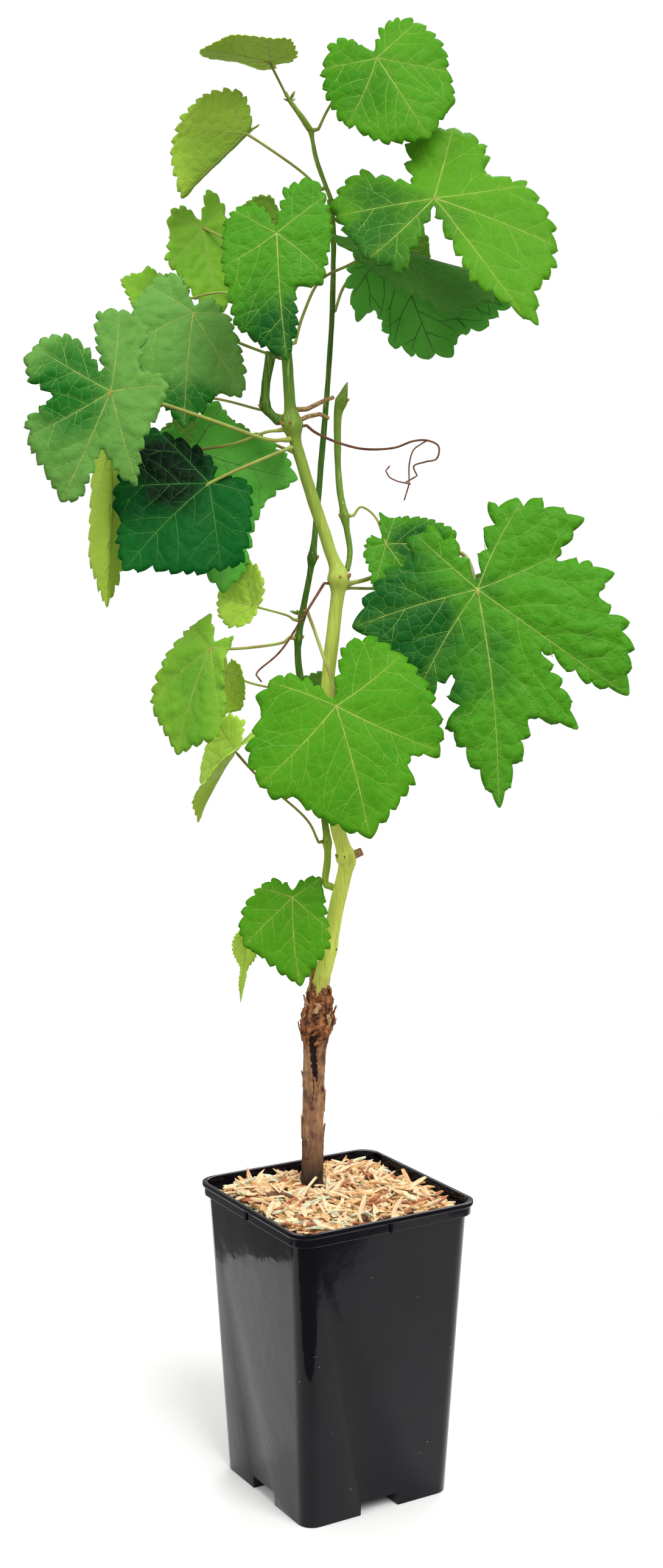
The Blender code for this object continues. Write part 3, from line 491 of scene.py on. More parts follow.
def at_height(line, height):
    """The middle, radius and direction at a height of a rising line of (point, radius) pairs."""
    i = next((n for n in range(len(line) - 2) if line[n + 1][0].z >= height), len(line) - 2)
    (low, thin), (high, thick) = line[i], line[i + 1]
    share = clamp((height - low.z) / (high.z - low.z))
    return low.lerp(high, share), thin + (thick - thin) * share, (high - low).normalized()


def seat_on(limb, height, toward, radius):
    """Two points that leave a limb at right angles, on the side of a third point.

    The first is where a round end of that radius comes within the gap of the limb's surface. Without a
    height they run straight on from the limb's tip.
    """
    line = limb_line(limb)
    if height is None:
        end = line[-1][0]
        out = (end - line[-2][0]).normalized()
        return [end + out * GAP, end + out * (GAP + SEAT_RUN)]
    centre, reach, along = at_height(line, height)
    out = toward - centre
    out = (out - along * out.dot(along)).normalized()
    beside = along.cross(out)
    far = centre + out * 3 * reach
    turns = [2 * math.pi * k / RIM_POINTS for k in range(RIM_POINTS)]
    rim = [far] + [far + radius * (along * math.cos(a) + beside * math.sin(a)) for a in turns]
    surface = BVHTree.FromPolygons(*tube(line, limb.sides))
    falls = [surface.ray_cast(point, -out)[3] for point in rim]
    start = far - out * (min(fall for fall in falls if fall is not None) - GAP)
    return [start, start + out * SEAT_RUN]


def seated_bends(limb):
    """The limb's bends, with the two points of its seat before them where it has one."""
    bends = [Vector(b) for b in limb.bends]
    if limb.seat is None:
        return bends
    name, height = limb.seat
    return seat_on(LIMBS[name], height, bends[0], limb.base) + bends


def limb_line(limb):
    """(point, radius) along a limb, with points of its own at the knuckles."""
    bends = seated_bends(limb)
    line = flowing(bends, 2)
    if limb.knuckles:
        curve = [(p, 0.0) for p in flowing(bends, 8)]
        wanted = [h + reach * step for h, _, reach in limb.knuckles for step in KNUCKLE_STEPS]
        low, high = line[1].z + LIMB_STEP / 2, line[-1].z - LIMB_STEP / 2
        wanted = [h for h in wanted if low < h < high]
        kept = [p for p in line[2:-1] if all(abs(p.z - h) > LIMB_STEP for h in wanted)]
        line = line[:2] + kept + line[-1:]
        for height in wanted:
            place = next(i for i, p in enumerate(line) if i > 1 and p.z > height)
            line.insert(place, at_height(curve, height)[0])
    return with_radii(limb, line)


def with_radii(limb, line):
    """(point, radius) pairs: the limb tapers evenly, swells at its knuckles and may end in a point."""
    run = run_along(line)
    made = []
    for point, far in zip(line, run):
        radius = limb.base + (limb.tip - limb.base) * far / run[-1]
        for height, swell, reach in limb.knuckles:
            radius += swell * math.exp(-(((point.z - height) / reach) ** 2))
        if limb.pointed:
            radius *= min(1.0, 0.15 + (run[-1] - far) / POINT_RUN)
        made.append((point, radius))
    return made


def tube(line, sides):
    """Points and faces of a closed tube along (point, radius) pairs."""
    points = [p for p, _ in line]
    first = (points[1] - points[0]).normalized()
    side = first.orthogonal().normalized()
    rings = []
    for i, (point, radius) in enumerate(line):
        ahead = points[min(i + 1, len(points) - 1)] - points[i]
        behind = points[i] - points[max(i - 1, 0)]
        tangent = (ahead.normalized() + behind.normalized()).normalized()
        side = (side - tangent * side.dot(tangent)).normalized()
        other = tangent.cross(side)
        turn = [2 * math.pi * k / sides for k in range(sides)]
        rings.append([point + radius * (side * math.cos(a) + other * math.sin(a)) for a in turn])
    return loft(rings)


def blade_point(leaf, along, side, raised=0.0):
    """Where a point of the flat blade lies once the blade is folded, cupped, twisted and bent down."""
    length = max(reach for _, reach in leaf.edge)
    fold = math.radians(leaf.fold)
    soft = FOLD_SOFTNESS * length
    lift = raised + math.sin(fold) * (math.hypot(side, soft) - soft)
    across = side * math.cos(fold)
    lift -= leaf.cup * side * side / length
    phase = EDGE_WAVES * math.atan2(side, along) + length
    lift += EDGE_WAVE_DEPTH * math.hypot(along, side) * math.sin(phase)
    turn = math.radians(leaf.twist) * along / length
    across, lift = (across * math.cos(turn) - lift * math.sin(turn),
                    across * math.sin(turn) + lift * math.cos(turn))
    bend = math.radians(leaf.droop) / length
    if abs(bend) > 1e-6:
        forward = math.sin(bend * along) / bend + lift * math.sin(bend * along)
        lift = (math.cos(bend * along) - 1.0) / bend + lift * math.cos(bend * along)
    else:
        forward = along
    axis = Vector(leaf.axis).normalized()
    face = Vector(leaf.face)
    face = (face - axis * face.dot(axis)).normalized()
    return Vector(leaf.junction) + axis * forward + face.cross(axis) * across + face * lift


# How each leaf looks: its tone, the turn of each main vein, how far the blade puffs up between its veins in
# millimetres, the size of its teeth, and its darker patch, which is painted shade: how far it is turned from
# the midrib in degrees and how far out it lies, in shares of the leaf's length
PLAIN_VEINS = (-105, -52, 0, 52, 105)
Look = namedtuple(
    "Look",
    "tone veins puff tooth dark_side dark_reach",
    defaults=("fresh", PLAIN_VEINS, 0.4, 1.0, None, 0.42),
)
LOOKS = {
    "leaf_top_left": Look("pale", PLAIN_VEINS, 0.4, 0.8),
    "leaf_top_right": Look("fresh", (-110, -55, 0, 52, 105), 0.5, 1.1, -80),
    "leaf_high_left": Look("olive", PLAIN_VEINS, 0.4, 1.0, 0),
    "leaf_high_right": Look("turned", (-133, -98, -65, 0, 112, 150), 0.6, 1.0, 142, 0.5),
    "leaf_high_right_folded": Look("shaded", (-108, -55, 0, 45, 150), 0.5, 1.0),
    "leaf_centre_upper": Look("grown", (-125, -62, 0, 45, 125), 0.4, 0.8, 0, 0.8),
    "leaf_left_pale": Look("soft", (-115, -50, 0, 45, 125), 0.5, 1.1),
    "leaf_left_small": Look("soft"),
    "leaf_left_grey": Look("dull", (-118, -58, 0, 36, 95), 0.6, 0.8, 0, 0.9),
    "leaf_far_left": Look("dull", (-98, -42, -4, 38, 118, 198), 0.7, 0.9, -60),
    "leaf_far_left_hanging": Look("pale", (-80, -35, 0, 35, 80), 0.4, 0.9),
    "leaf_left_dark": Look("dark", (-96, -45, 0, 50, 120), 0.6, 1.0, -55, 0.34),
    "leaf_left_behind": Look("shaded", (-110, -50, 0, 64, 135), 0.5, 0.8),
    "leaf_mid_pale": Look("pale", PLAIN_VEINS, 0.6, 1.5),
    "leaf_mid_left": Look("soft", (-110, -36, 0, 30, 110), 0.6, 0.9, 0),
    "leaf_mid_left_edge": Look("pale", PLAIN_VEINS, 0.5, 1.2),
    "leaf_low_edge": Look("pale"),
    "leaf_centre_heart": Look("fresh", (-125, -58, 0, 52, 115), 0.4, 1.1),
    "leaf_right_small": Look("grown", (-110, -45, 0, 60, 130), 0.5, 1.0, 60),
    "leaf_right_large": Look("grown", (-138, -79, -36, 0, 49, 108, 148), 0.9, 1.3, -70),
    "leaf_low_left": Look("fresh", (-110, -50, 0, 45, 120), 0.4, 1.1, 180, 0.6),
    "leaf_low_tiny": Look("pale", (-60, -30, 0, 30, 60), 0.2, 0.5),
    "leaf_back_low": Look("grown"),
    "leaf_back_left": Look("dull"),
    "leaf_back_right": Look("fresh"),
    "leaf_back_top": Look("soft"),
    "leaf_back_right_low": Look("grown"),
}

# Leaf tones: the cuticle's name, the darker green of its drifts and of its patch of painted shade, the green
# beside its veins, the two greens of its underside, how deeply the blade is quilted in millimetres, and its
# gloss
Tone = namedtuple("Tone", "cuticle drift halo under under_drift relief gloss")
TONES = {
    "fresh": Tone("young_leaf", "#3c8414", "#86a838", "#6b9636", "#58872c", 0.16, 0.06),
    "soft": Tone("soft_leaf", "#63a428", "#98b64c", "#86b23e", "#72a032", 0.14, 0.1),
    # The pale tone is brighter than new leaves' own yellow-green: it also paints the glow of light through
    # thin leaves, and light on leaves that sit in shade
    "pale": Tone("new_leaf_and_glow", "#8cc02e", "#c4d660", "#b8dc48", "#a2c83c", 0.12, 0.1),
    "olive": Tone("tip_leaf", "#659030", "#aec054", "#9ac23e", "#84ac34", 0.14, 0.1),
    "grown": Tone("grown_leaf", "#155a1c", "#74a03c", "#6b9640", "#58872c", 0.38, 0.12),
    # The dull tone's greyish green is partly the leaves' own and partly a painted sheen
    "dull": Tone("dull_sheened_leaf", "#1e701c", "#86a95c", "#6b9640", "#58872c", 0.2, 0.12),
    "shaded": Tone("shaded_leaf", "#46982e", "#8aba5c", "#5c9c40", "#508c36", 0.2, 0.08),
    # The turned tone's darker drift paints the shade on a lobe turned from the light
    "turned": Tone("lobe_shaded_leaf", "#306c22", "#86a838", "#6b9636", "#58872c", 0.16, 0.06),
    # The dark tone's near-black drift paints the shadow that the leaf above casts on its middle
    "dark": Tone("shadowed_dark_leaf", "#041a0a", "#2c6a2c", "#3a6628", "#2c5a20", 0.25, 0.06),
}


# Colours and materials


def linear(code):
    """An sRGB hex colour as linear red, green, blue and alpha."""
    parts = [int(code[i:i + 2], 16) / 255.0 for i in (1, 3, 5)]
    return tuple(p / 12.92 if p <= 0.04045 else ((p + 0.055) / 1.055) ** 2.4 for p in parts) + (1.0,)


def add_node(tree, kind, inputs=None, output=None, **settings):
    """Adds a node with its settings and links. Gives the node, or the output that is named."""
    made = tree.nodes.new(kind)
    for name, value in settings.items():
        setattr(made, name, value)
    for name, value in (inputs or {}).items():
        if isinstance(value, bpy.types.NodeSocket):
            tree.links.new(value, made.inputs[name])
        else:
            made.inputs[name].default_value = value
    return made if output is None else made.outputs[output]


def new_material(name, roughness, ior=1.45, specular=0.5):
    """A material, its node tree and its Principled shader."""
    made = bpy.data.materials.new(name)
    made.use_nodes = True
    shader = made.node_tree.nodes["Principled BSDF"]
    shader.inputs["Roughness"].default_value = roughness
    shader.inputs["IOR"].default_value = ior
    shader.inputs["Specular IOR Level"].default_value = specular
    return made, made.node_tree, shader


def streaks_in(tree, place, period_mm, stretch=(1.0, 1.0, 1.0), detail=3.0, rough=0.5):
    """A noise over a place, with its period in millimetres and a stretch along each axis."""
    scale = tuple(1.0 / (period_mm * s) for s in stretch)
    turned = add_node(tree, "ShaderNodeMapping", {"Vector": place, "Scale": scale}, "Vector")
    inputs = {"Vector": turned, "Scale": 1.0, "Detail": detail, "Roughness": rough}
    return add_node(tree, "ShaderNodeTexNoise", inputs, "Fac")


def shade_between(tree, value, low, high, first, second):
    """A colour that turns from the first to the second while a value runs from low to high.

    Each colour is a hex code, a linear colour or a socket.
    """
    first, second = (linear(colour) if isinstance(colour, str) else colour for colour in (first, second))
    share = {"Value": value, "From Min": low, "From Max": high}
    factor = add_node(tree, "ShaderNodeMapRange", share, "Result")
    mix = add_node(tree, "ShaderNodeMix", {0: factor, 6: first, 7: second}, data_type="RGBA")
    return mix.outputs[2]


def dress(tree, shader, colour, height, depth_mm, roughness=None):
    """Gives the shader its colour and relief, and a roughness that varies where one is given."""
    relief = {"Height": height, "Distance": depth_mm * MM}
    tree.links.new(colour, shader.inputs["Base Color"])
    tree.links.new(add_node(tree, "ShaderNodeBump", relief, "Normal"), shader.inputs["Normal"])
    if roughness:
        tree.links.new(roughness, shader.inputs["Roughness"])


def millimetres(tree):
    """Object coordinates in millimetres."""
    place = add_node(tree, "ShaderNodeTexCoord", output="Object")
    return add_node(tree, "ShaderNodeMapping", {"Vector": place, "Scale": (1000.0,) * 3}, "Vector")


def pot_plastic():
    """Injection-moulded polypropylene: near black and glossy, paler and duller in drifts that are partly dust
    and partly a painted reflection, with pale grit.

    Its faces are not quite flat, so what they mirror wavers.
    """
    made, tree, shader = new_material("moulded_black_polypropylene", 0.15, ior=1.29)
    place = millimetres(tree)
    drifts = streaks_in(tree, place, 55, (1.0, 1.0, 1.5), 5.0, 0.6)
    grit = add_node(tree, "ShaderNodeTexVoronoi", {"Vector": place, "Scale": 1 / 10}, "Distance")
    # Paler drifts: partly dust and partly a painted reflection with a wavy edge
    dust_and_reflection = shade_between(tree, drifts, 0.45, 0.75, "#07050d", "#131019")
    colour = shade_between(tree, grit, 0.04, 0.025, dust_and_reflection, "#a39c92")
    worn = {"Value": drifts, "From Min": 0.35, "From Max": 0.75, "To Min": 0.05, "To Max": 0.2}
    swell = streaks_in(tree, place, 30)
    dress(tree, shader, colour, swell, 0.5, add_node(tree, "ShaderNodeMapRange", worn, "Result"))
    return made


def potting_mix():
    """Moist potting mix: dark, crumbly and dull."""
    made, tree, shader = new_material("moist_potting_mix", 0.95)
    crumbs = streaks_in(tree, millimetres(tree), 3, detail=6.0, rough=0.7)
    dress(tree, shader, shade_between(tree, crumbs, 0.35, 0.7, "#2a1a10", "#7a5636"), crumbs, 1.2)
    return made


def chip_wood(name, light, dark):
    """A split wood chip: dry pale fibres in streaks along its length."""
    made, tree, shader = new_material(name, 0.8)
    place = add_node(tree, "ShaderNodeUVMap", output="UV", uv_map="grain")
    fibre = streaks_in(tree, place, 0.5, (8.0, 1.0, 1.0), 4.0)
    dress(tree, shader, shade_between(tree, fibre, 0.3, 0.62, dark, light), fibre, 0.3)
    return made


def old_bark():
    """Vine bark: taupe and nearly smooth on the shank, red-brown and flaking at the graft with painted shade
    in its hollows, and darker towards its foot.

    The split is darker, by an attribute of the stem.
    """
    made, tree, shader = new_material("grafted_vine_bark", 0.58, specular=0.4)
    place = millimetres(tree)
    height = add_node(tree, "ShaderNodeSeparateXYZ", {"Vector": place}, "Z")
    strips = streaks_in(tree, place, 2.6, (1.0, 1.0, 10.0), 6.0, 0.6)
    crumbs = streaks_in(tree, place, 3.4, (1.0, 1.0, 1.8), 6.0, 0.7)
    patches = streaks_in(tree, place, 9)
    zone = {0: patches, 1: 26.0, 2: height}
    zone = add_node(tree, "ShaderNodeMath", zone, "Value", operation="MULTIPLY_ADD")
    shank = shade_between(tree, strips, 0.25, 0.75, "#8c5f3e", "#c89c70")
    shank = shade_between(tree, patches, 0.42, 0.66, shank, "#694737")
    # At the graft the colour follows the relief: near black in its hollows, which is painted shade
    head = shade_between(tree, crumbs, 0.38, 0.6, "#1e0a06", "#b4703e")
    head = shade_between(tree, crumbs, 0.62, 0.7, head, "#e0c8a8")
    bark = shade_between(tree, zone, 296, 306, shank, head)
    # Darker towards the foot of the shank
    bark = shade_between(tree, zone, 246, 214, bark, "#271710")
    split = add_node(tree, "ShaderNodeAttribute", output="Fac", attribute_name="split")
    dress(tree, shader, shade_between(tree, split, 0.3, 0.8, bark, "#24100a"), crumbs, 0.8)
    return made


def cane_skin(name, foot, tip, low_mm, high_mm, scurf, heel, heel_mm):
    """A green shoot's skin: satin, yellower at its foot, with lengthwise ridges and brown scurf.

    Its lowest part, up to a height, has a colour of its own.
    """
    made, tree, shader = new_material(name, 0.4, specular=0.18)
    place = millimetres(tree)
    height = add_node(tree, "ShaderNodeSeparateXYZ", {"Vector": place}, "Z")
    ridges = streaks_in(tree, place, 1.3, (1.0, 1.0, 22.0), 2.0)
    blush = streaks_in(tree, place, 20, (1.0, 1.0, 3.0))
    fleck = streaks_in(tree, place, 2.2, (1.0, 1.0, 3.5), 5.0, 0.7)
    zone = {0: blush, 1: 2 * BLUSH_DRIFT, 2: height}
    zone = add_node(tree, "ShaderNodeMath", zone, "Value", operation="MULTIPLY_ADD")
    skin = shade_between(tree, zone, low_mm + BLUSH_DRIFT, high_mm + BLUSH_DRIFT, foot, tip)
    skin = shade_between(tree, height, heel_mm + 10, heel_mm - 10, skin, heel)
    skin = shade_between(tree, ridges, 0.5, 0.05, skin, "#88aa34")
    skin = shade_between(tree, ridges, 0.58, 0.9, skin, "#d2de68")
    dress(tree, shader, shade_between(tree, fleck, 0.66, 0.78, skin, scurf), ridges, 0.25)
    return made


def leaf_skin(name, body, drift, halo, relief_mm, roughness, gloss):
    """A side of a vine leaf: satin green in drifts and in a patch of painted shade, quilted by its net of
    veins and a little paler by them.

    The net's meshes are about 7 mm. The finest meshes are 1 mm in a real leaf and drawn at 2.2 mm.
    """
    made, tree, shader = new_material(name, roughness, specular=gloss)
    flat = add_node(tree, "ShaderNodeUVMap", output="UV", uv_map="flat")
    sway = add_node(tree, "ShaderNodeTexNoise", {"Vector": flat, "Scale": 1 / 6}, "Color")
    bent = {0: sway, 1: (3.0, 3.0, 0.0), 2: flat}
    bent = add_node(tree, "ShaderNodeVectorMath", bent, "Vector", operation="MULTIPLY_ADD")
    nets = []
    for mesh_mm in (7.0, 2.2):
        net = {"Vector": bent, "Scale": 1 / mesh_mm, "Randomness": 0.9}
        settings = {"feature": "DISTANCE_TO_EDGE", "voronoi_dimensions": "2D"}
        nets.append(add_node(tree, "ShaderNodeTexVoronoi", net, "Distance", **settings))
    drift_and_shade_value = add_node(tree, "ShaderNodeAttribute", output="Fac", attribute_name="drift")
    share = {0: streaks_in(tree, flat, 9, detail=4.0), 1: 0.25, 2: drift_and_shade_value}
    share = add_node(tree, "ShaderNodeMath", share, "Value", operation="MULTIPLY_ADD")
    # The attribute holds random clouds and each leaf's patch of painted shade
    green = shade_between(tree, share, 0.35, 0.9, body, drift)
    by_vein = add_node(tree, "ShaderNodeAttribute", output="Fac", attribute_name="by_vein")
    green = shade_between(tree, by_vein, 0.0, 5.0, green, halo)
    green = shade_between(tree, nets[0], 0.05, -0.08, green, halo)
    pillow = {0: nets[1], 1: 0.3, 2: nets[0]}
    pillow = add_node(tree, "ShaderNodeMath", pillow, "Value", operation="MULTIPLY_ADD")
    pillow = {"Value": pillow, "From Max": 0.4}
    dress(tree, shader, green, add_node(tree, "ShaderNodeMapRange", pillow, "Result"), relief_mm)
    return made


def plain_skin(name, colour, other, roughness, period_mm=6.0):
    """A thin plant part in one colour that wanders a little, such as a stalk, a rib or a bud scale."""
    made, tree, shader = new_material(name, roughness, specular=0.35)
    wander = streaks_in(tree, millimetres(tree), period_mm)
    dress(tree, shader, shade_between(tree, wander, 0.35, 0.65, colour, other), wander, 0.15)
    return made


def make_leaf_skins(colours):
    """Both sides of the leaves by tone, the thick and fine ribs, and the stalks."""
    skins = {
        "rib": plain_skin("leaf_rib", colours.vein, "#86ab44", 0.45),
        "fine_rib": plain_skin("fine_leaf_rib", "#90b44c", "#7caa3e", 0.45),
        "dark_rib": plain_skin("shaded_leaf_rib", "#4d8434", "#33702a", 0.45),
        "stalk": plain_skin("leaf_stalk", "#a6ba50", "#9c9048", 0.45, 18.0),
    }
    for tone, look in TONES.items():
        top, down = look.cuticle + "_cuticle", look.cuticle + "_down"
        body = getattr(colours, tone)
        skins[tone] = leaf_skin(top, body, look.drift, look.halo, look.relief, 0.46, look.gloss)
        skins[tone + "_under"] = leaf_skin(down, look.under, look.under_drift, look.halo, 0.3, 0.65, 0.15)
    return skins


# Small helpers for modelling by hand


def deselect():
    if bpy.context.mode != "OBJECT":
        bpy.ops.object.mode_set(mode="OBJECT")
    bpy.ops.object.select_all(action="DESELECT")


def choose(piece, *others):
    """Selects these objects only, with the first one active."""
    deselect()
    for item in (piece, *others):
        item.select_set(True)
    bpy.context.view_layer.objects.active = piece


def added(operator, **settings):
    """A new primitive, with nothing else selected."""
    deselect()
    operator(**settings)
    return bpy.context.active_object


def coat(piece, *materials):
    """Gives the piece these materials and no others."""
    piece.data.materials.clear()
    for material in materials:
        piece.data.materials.append(material)


def settle(piece):
    """Puts the piece's place, turn and size into its mesh."""
    choose(piece)
    bpy.ops.object.transform_apply(location=True, rotation=True, scale=True)


def apply_all(piece):
    choose(piece)
    for name in [m.name for m in piece.modifiers]:
        bpy.ops.object.modifier_apply(modifier=name)


def join(name, pieces):
    """One piece out of several, with a name."""
    choose(*pieces)
    if len(pieces) > 1:
        bpy.ops.object.join()
    pieces[0].name = name
    pieces[0].data.name = name
    return pieces[0]


def finish_piece(piece, slot, *nodes):
    """Rides on the plant's one body and stands for its nodes, which it hides. Its slot is not used."""
    settle(piece)
    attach(piece, "root")
    if nodes:
        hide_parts(*nodes)


def smooth_by_angle(piece, degrees=35.0):
    choose(piece)
    bpy.ops.object.shade_smooth_by_angle(angle=math.radians(degrees))


def boolean(piece, cutters, operation):
    """Joins the cutters to the piece or cuts them from it, and removes them."""
    for cutter in cutters:
        modifier = piece.modifiers.new(operation, "BOOLEAN")
        modifier.operation = operation
        modifier.object = cutter
        modifier.solver = "EXACT"
    apply_all(piece)
    for cutter in cutters:
        bpy.data.objects.remove(cutter)


def from_arrays(name, points, faces, *materials, smooth=True):
    """An object from points in metres and their faces."""
    mesh = bpy.data.meshes.new(name)
    mesh.from_pydata(points, [], faces)
    mesh.polygons.foreach_set("use_smooth", [smooth] * len(faces))
    made = bpy.data.objects.new(name, mesh)
    bpy.context.scene.collection.objects.link(made)
    coat(made, *materials)
    return made


def pool(points, faces, more_points, more_faces):
    """Adds the points and faces of another shape to a growing list of both."""
    start = len(points)
    points += more_points
    faces += [tuple(start + c for c in corners) for corners in more_faces]


# The pot


def rounded_reach(half, corner, angle):
    """How far a square with round corners reaches in a direction."""
    less, more = sorted((abs(math.cos(angle)), abs(math.sin(angle))))
    flat = half - corner
    if half * less / more <= flat:
        return half / more
    middle = flat * (more + less)
    return middle + math.sqrt(middle * middle - 2 * flat * flat + corner * corner)


def grow_ring(rise_mm, ratio):
    """Extrudes the selected face upwards and scales it about the pot's axis."""
    bpy.ops.mesh.extrude_region_move(TRANSFORM_OT_translate={"value": (0, 0, rise_mm * MM)})
    bpy.ops.transform.resize(value=(ratio, ratio, 1.0), center_override=(0, 0, 0))


def side_cubes(near, far, half_width, low, high):
    """A cube at the middle of each side of the pot, in millimetres from its axis."""
    made = []
    for quarter in range(4):
        cube = added(bpy.ops.mesh.primitive_cube_add, size=1)
        cube.scale = ((far - near) * MM, 2 * half_width * MM, (high - low) * MM)
        turn = quarter * math.pi / 2
        middle = (far + near) / 2 * MM
        cube.location = (middle * math.cos(turn), middle * math.sin(turn), (high + low) / 2 * MM)
        cube.rotation_euler.z = turn
        settle(cube)
        made.append(cube)
    return made


class GRAPEVINE_OT_pot(bpy.types.Operator):
    """Model the square moulded pot with its band, lip and drainage notches"""

    bl_idname = "grapevine.pot"
    bl_label = "Pot"

    def execute(self, context):
        sizes = context.scene.grapevine_pot
        pot = self.mould_shell(sizes.corner_steps)
        near = FOOT_HALF - NOTCH_DEPTH
        wide = NOTCH_WIDTH / 2
        top = NOTCH_HEIGHT + WALL
        boolean(pot, side_cubes(near - WALL, FOOT_HALF - WALL / 3, wide + WALL, FLOOR / 2, top), "UNION")
        boolean(pot, side_cubes(near, FOOT_HALF + 10, wide, -10, NOTCH_HEIGHT), "DIFFERENCE")
        edges = pot.modifiers.new("edges", "BEVEL")
        edges.width = sizes.edge_round
        edges.segments = 2
        edges.limit_method = "ANGLE"
        edges.angle_limit = math.radians(32)
        apply_all(pot)
        far = BAND_HALF + RIB_DEPTH
        ribs = side_cubes(BAND_HALF - 0.5, far, RIB_WIDTH / 2, BAND_LOW + 0.9, LIP_LOW + 0.6)
        pot = join("pot_shell", [pot, *ribs])
        coat(pot, pot_plastic())
        smooth_by_angle(pot)
        finish_piece(pot, "black_plastic", "pot")
        return {"FINISHED"}

    def mould_shell(self, corner_steps):
        """The wall in rings from the foot up to the lip, and down inside to the floor."""
        pot = added(bpy.ops.mesh.primitive_plane_add, size=2 * FOOT_HALF * MM)
        bpy.ops.object.mode_set(mode="EDIT")
        bpy.ops.mesh.select_all(action="SELECT")
        bpy.ops.mesh.bevel(offset=FOOT_CORNER * MM, segments=corner_steps, affect="VERTICES")
        bpy.ops.mesh.select_all(action="SELECT")
        rings = (
            (FOOT_HALF, 0.0),
            (BODY_HALF, BAND_LOW),
            (BAND_HALF, BAND_LOW + 0.8),
            (BAND_HALF + 0.2, LIP_LOW),
            (LIP_HALF, LIP_LOW + 0.5),
            (LIP_HALF, POT_HEIGHT),
            (BAND_HALF - WALL, POT_HEIGHT),
            (BAND_HALF - WALL, BAND_LOW + 3.0),
            (BODY_HALF - WALL, BAND_LOW),
            (FOOT_HALF - WALL, FLOOR),
        )
        for (half, z), (next_half, next_z) in zip(rings, rings[1:]):
            grow_ring(next_z - z, next_half / half)
        bpy.ops.object.mode_set(mode="OBJECT")
        return pot


# Potting mix and chips


def fill_height(x, y):
    """The height of the heaped fill at a place, in millimetres."""
    reach = max(abs(x), abs(y)) / (BODY_HALF - WALL)
    return FILL_EDGE + (FILL_TOP - FILL_EDGE) * min(1.0, (1.0 - reach) / FILL_SLOPE)


def chip(rng, length, width, thick):
    """Points and faces of one split chip: a bent bar with ragged ends."""
    points = []
    bend = rng.uniform(-0.08, 0.08) * length
    for share in (0.0, 0.3, 0.7, 1.0):
        x = (share - 0.5) * length
        lift = bend * math.sin(math.pi * share)
        narrow = rng.uniform(0.45, 0.8) if share in (0.0, 1.0) else rng.uniform(0.9, 1.1)
        shift = rng.uniform(-0.12, 0.12) * length if share in (0.0, 1.0) else 0.0
        for side, up in ((-1, -1), (1, -1), (1, 1), (-1, 1)):
            y, z = side * width / 2 * narrow, lift + up * thick / 2 * narrow
            points.append(Vector((x + shift * side, y, z)))
    faces = [(3, 2, 1, 0)]
    for ring in (0, 4, 8):
        for i in range(4):
            j = (i + 1) % 4
            faces.append((ring + i, ring + j, ring + 4 + j, ring + 4 + i))
    faces.append((12, 13, 14, 15))
    return points, faces


# Woods of the chips: the light and dark of their fibres, and their share of all chips
Wood = namedtuple("Wood", "light dark share")
WOODS = {
    "fresh_pine_chips": Wood("#fbe6c0", "#d9ab6c", 0.48),
    "tan_pine_chips": Wood("#edc48c", "#b8824a", 0.3),
    "red_bark_chips": Wood("#c98358", "#8a4c2e", 0.08),
    "salted_pine_chips": Wood("#e6ebd0", "#b3c094", 0.09),
    "dark_bark_chips": Wood("#7e5638", "#43291a", 0.05),
}


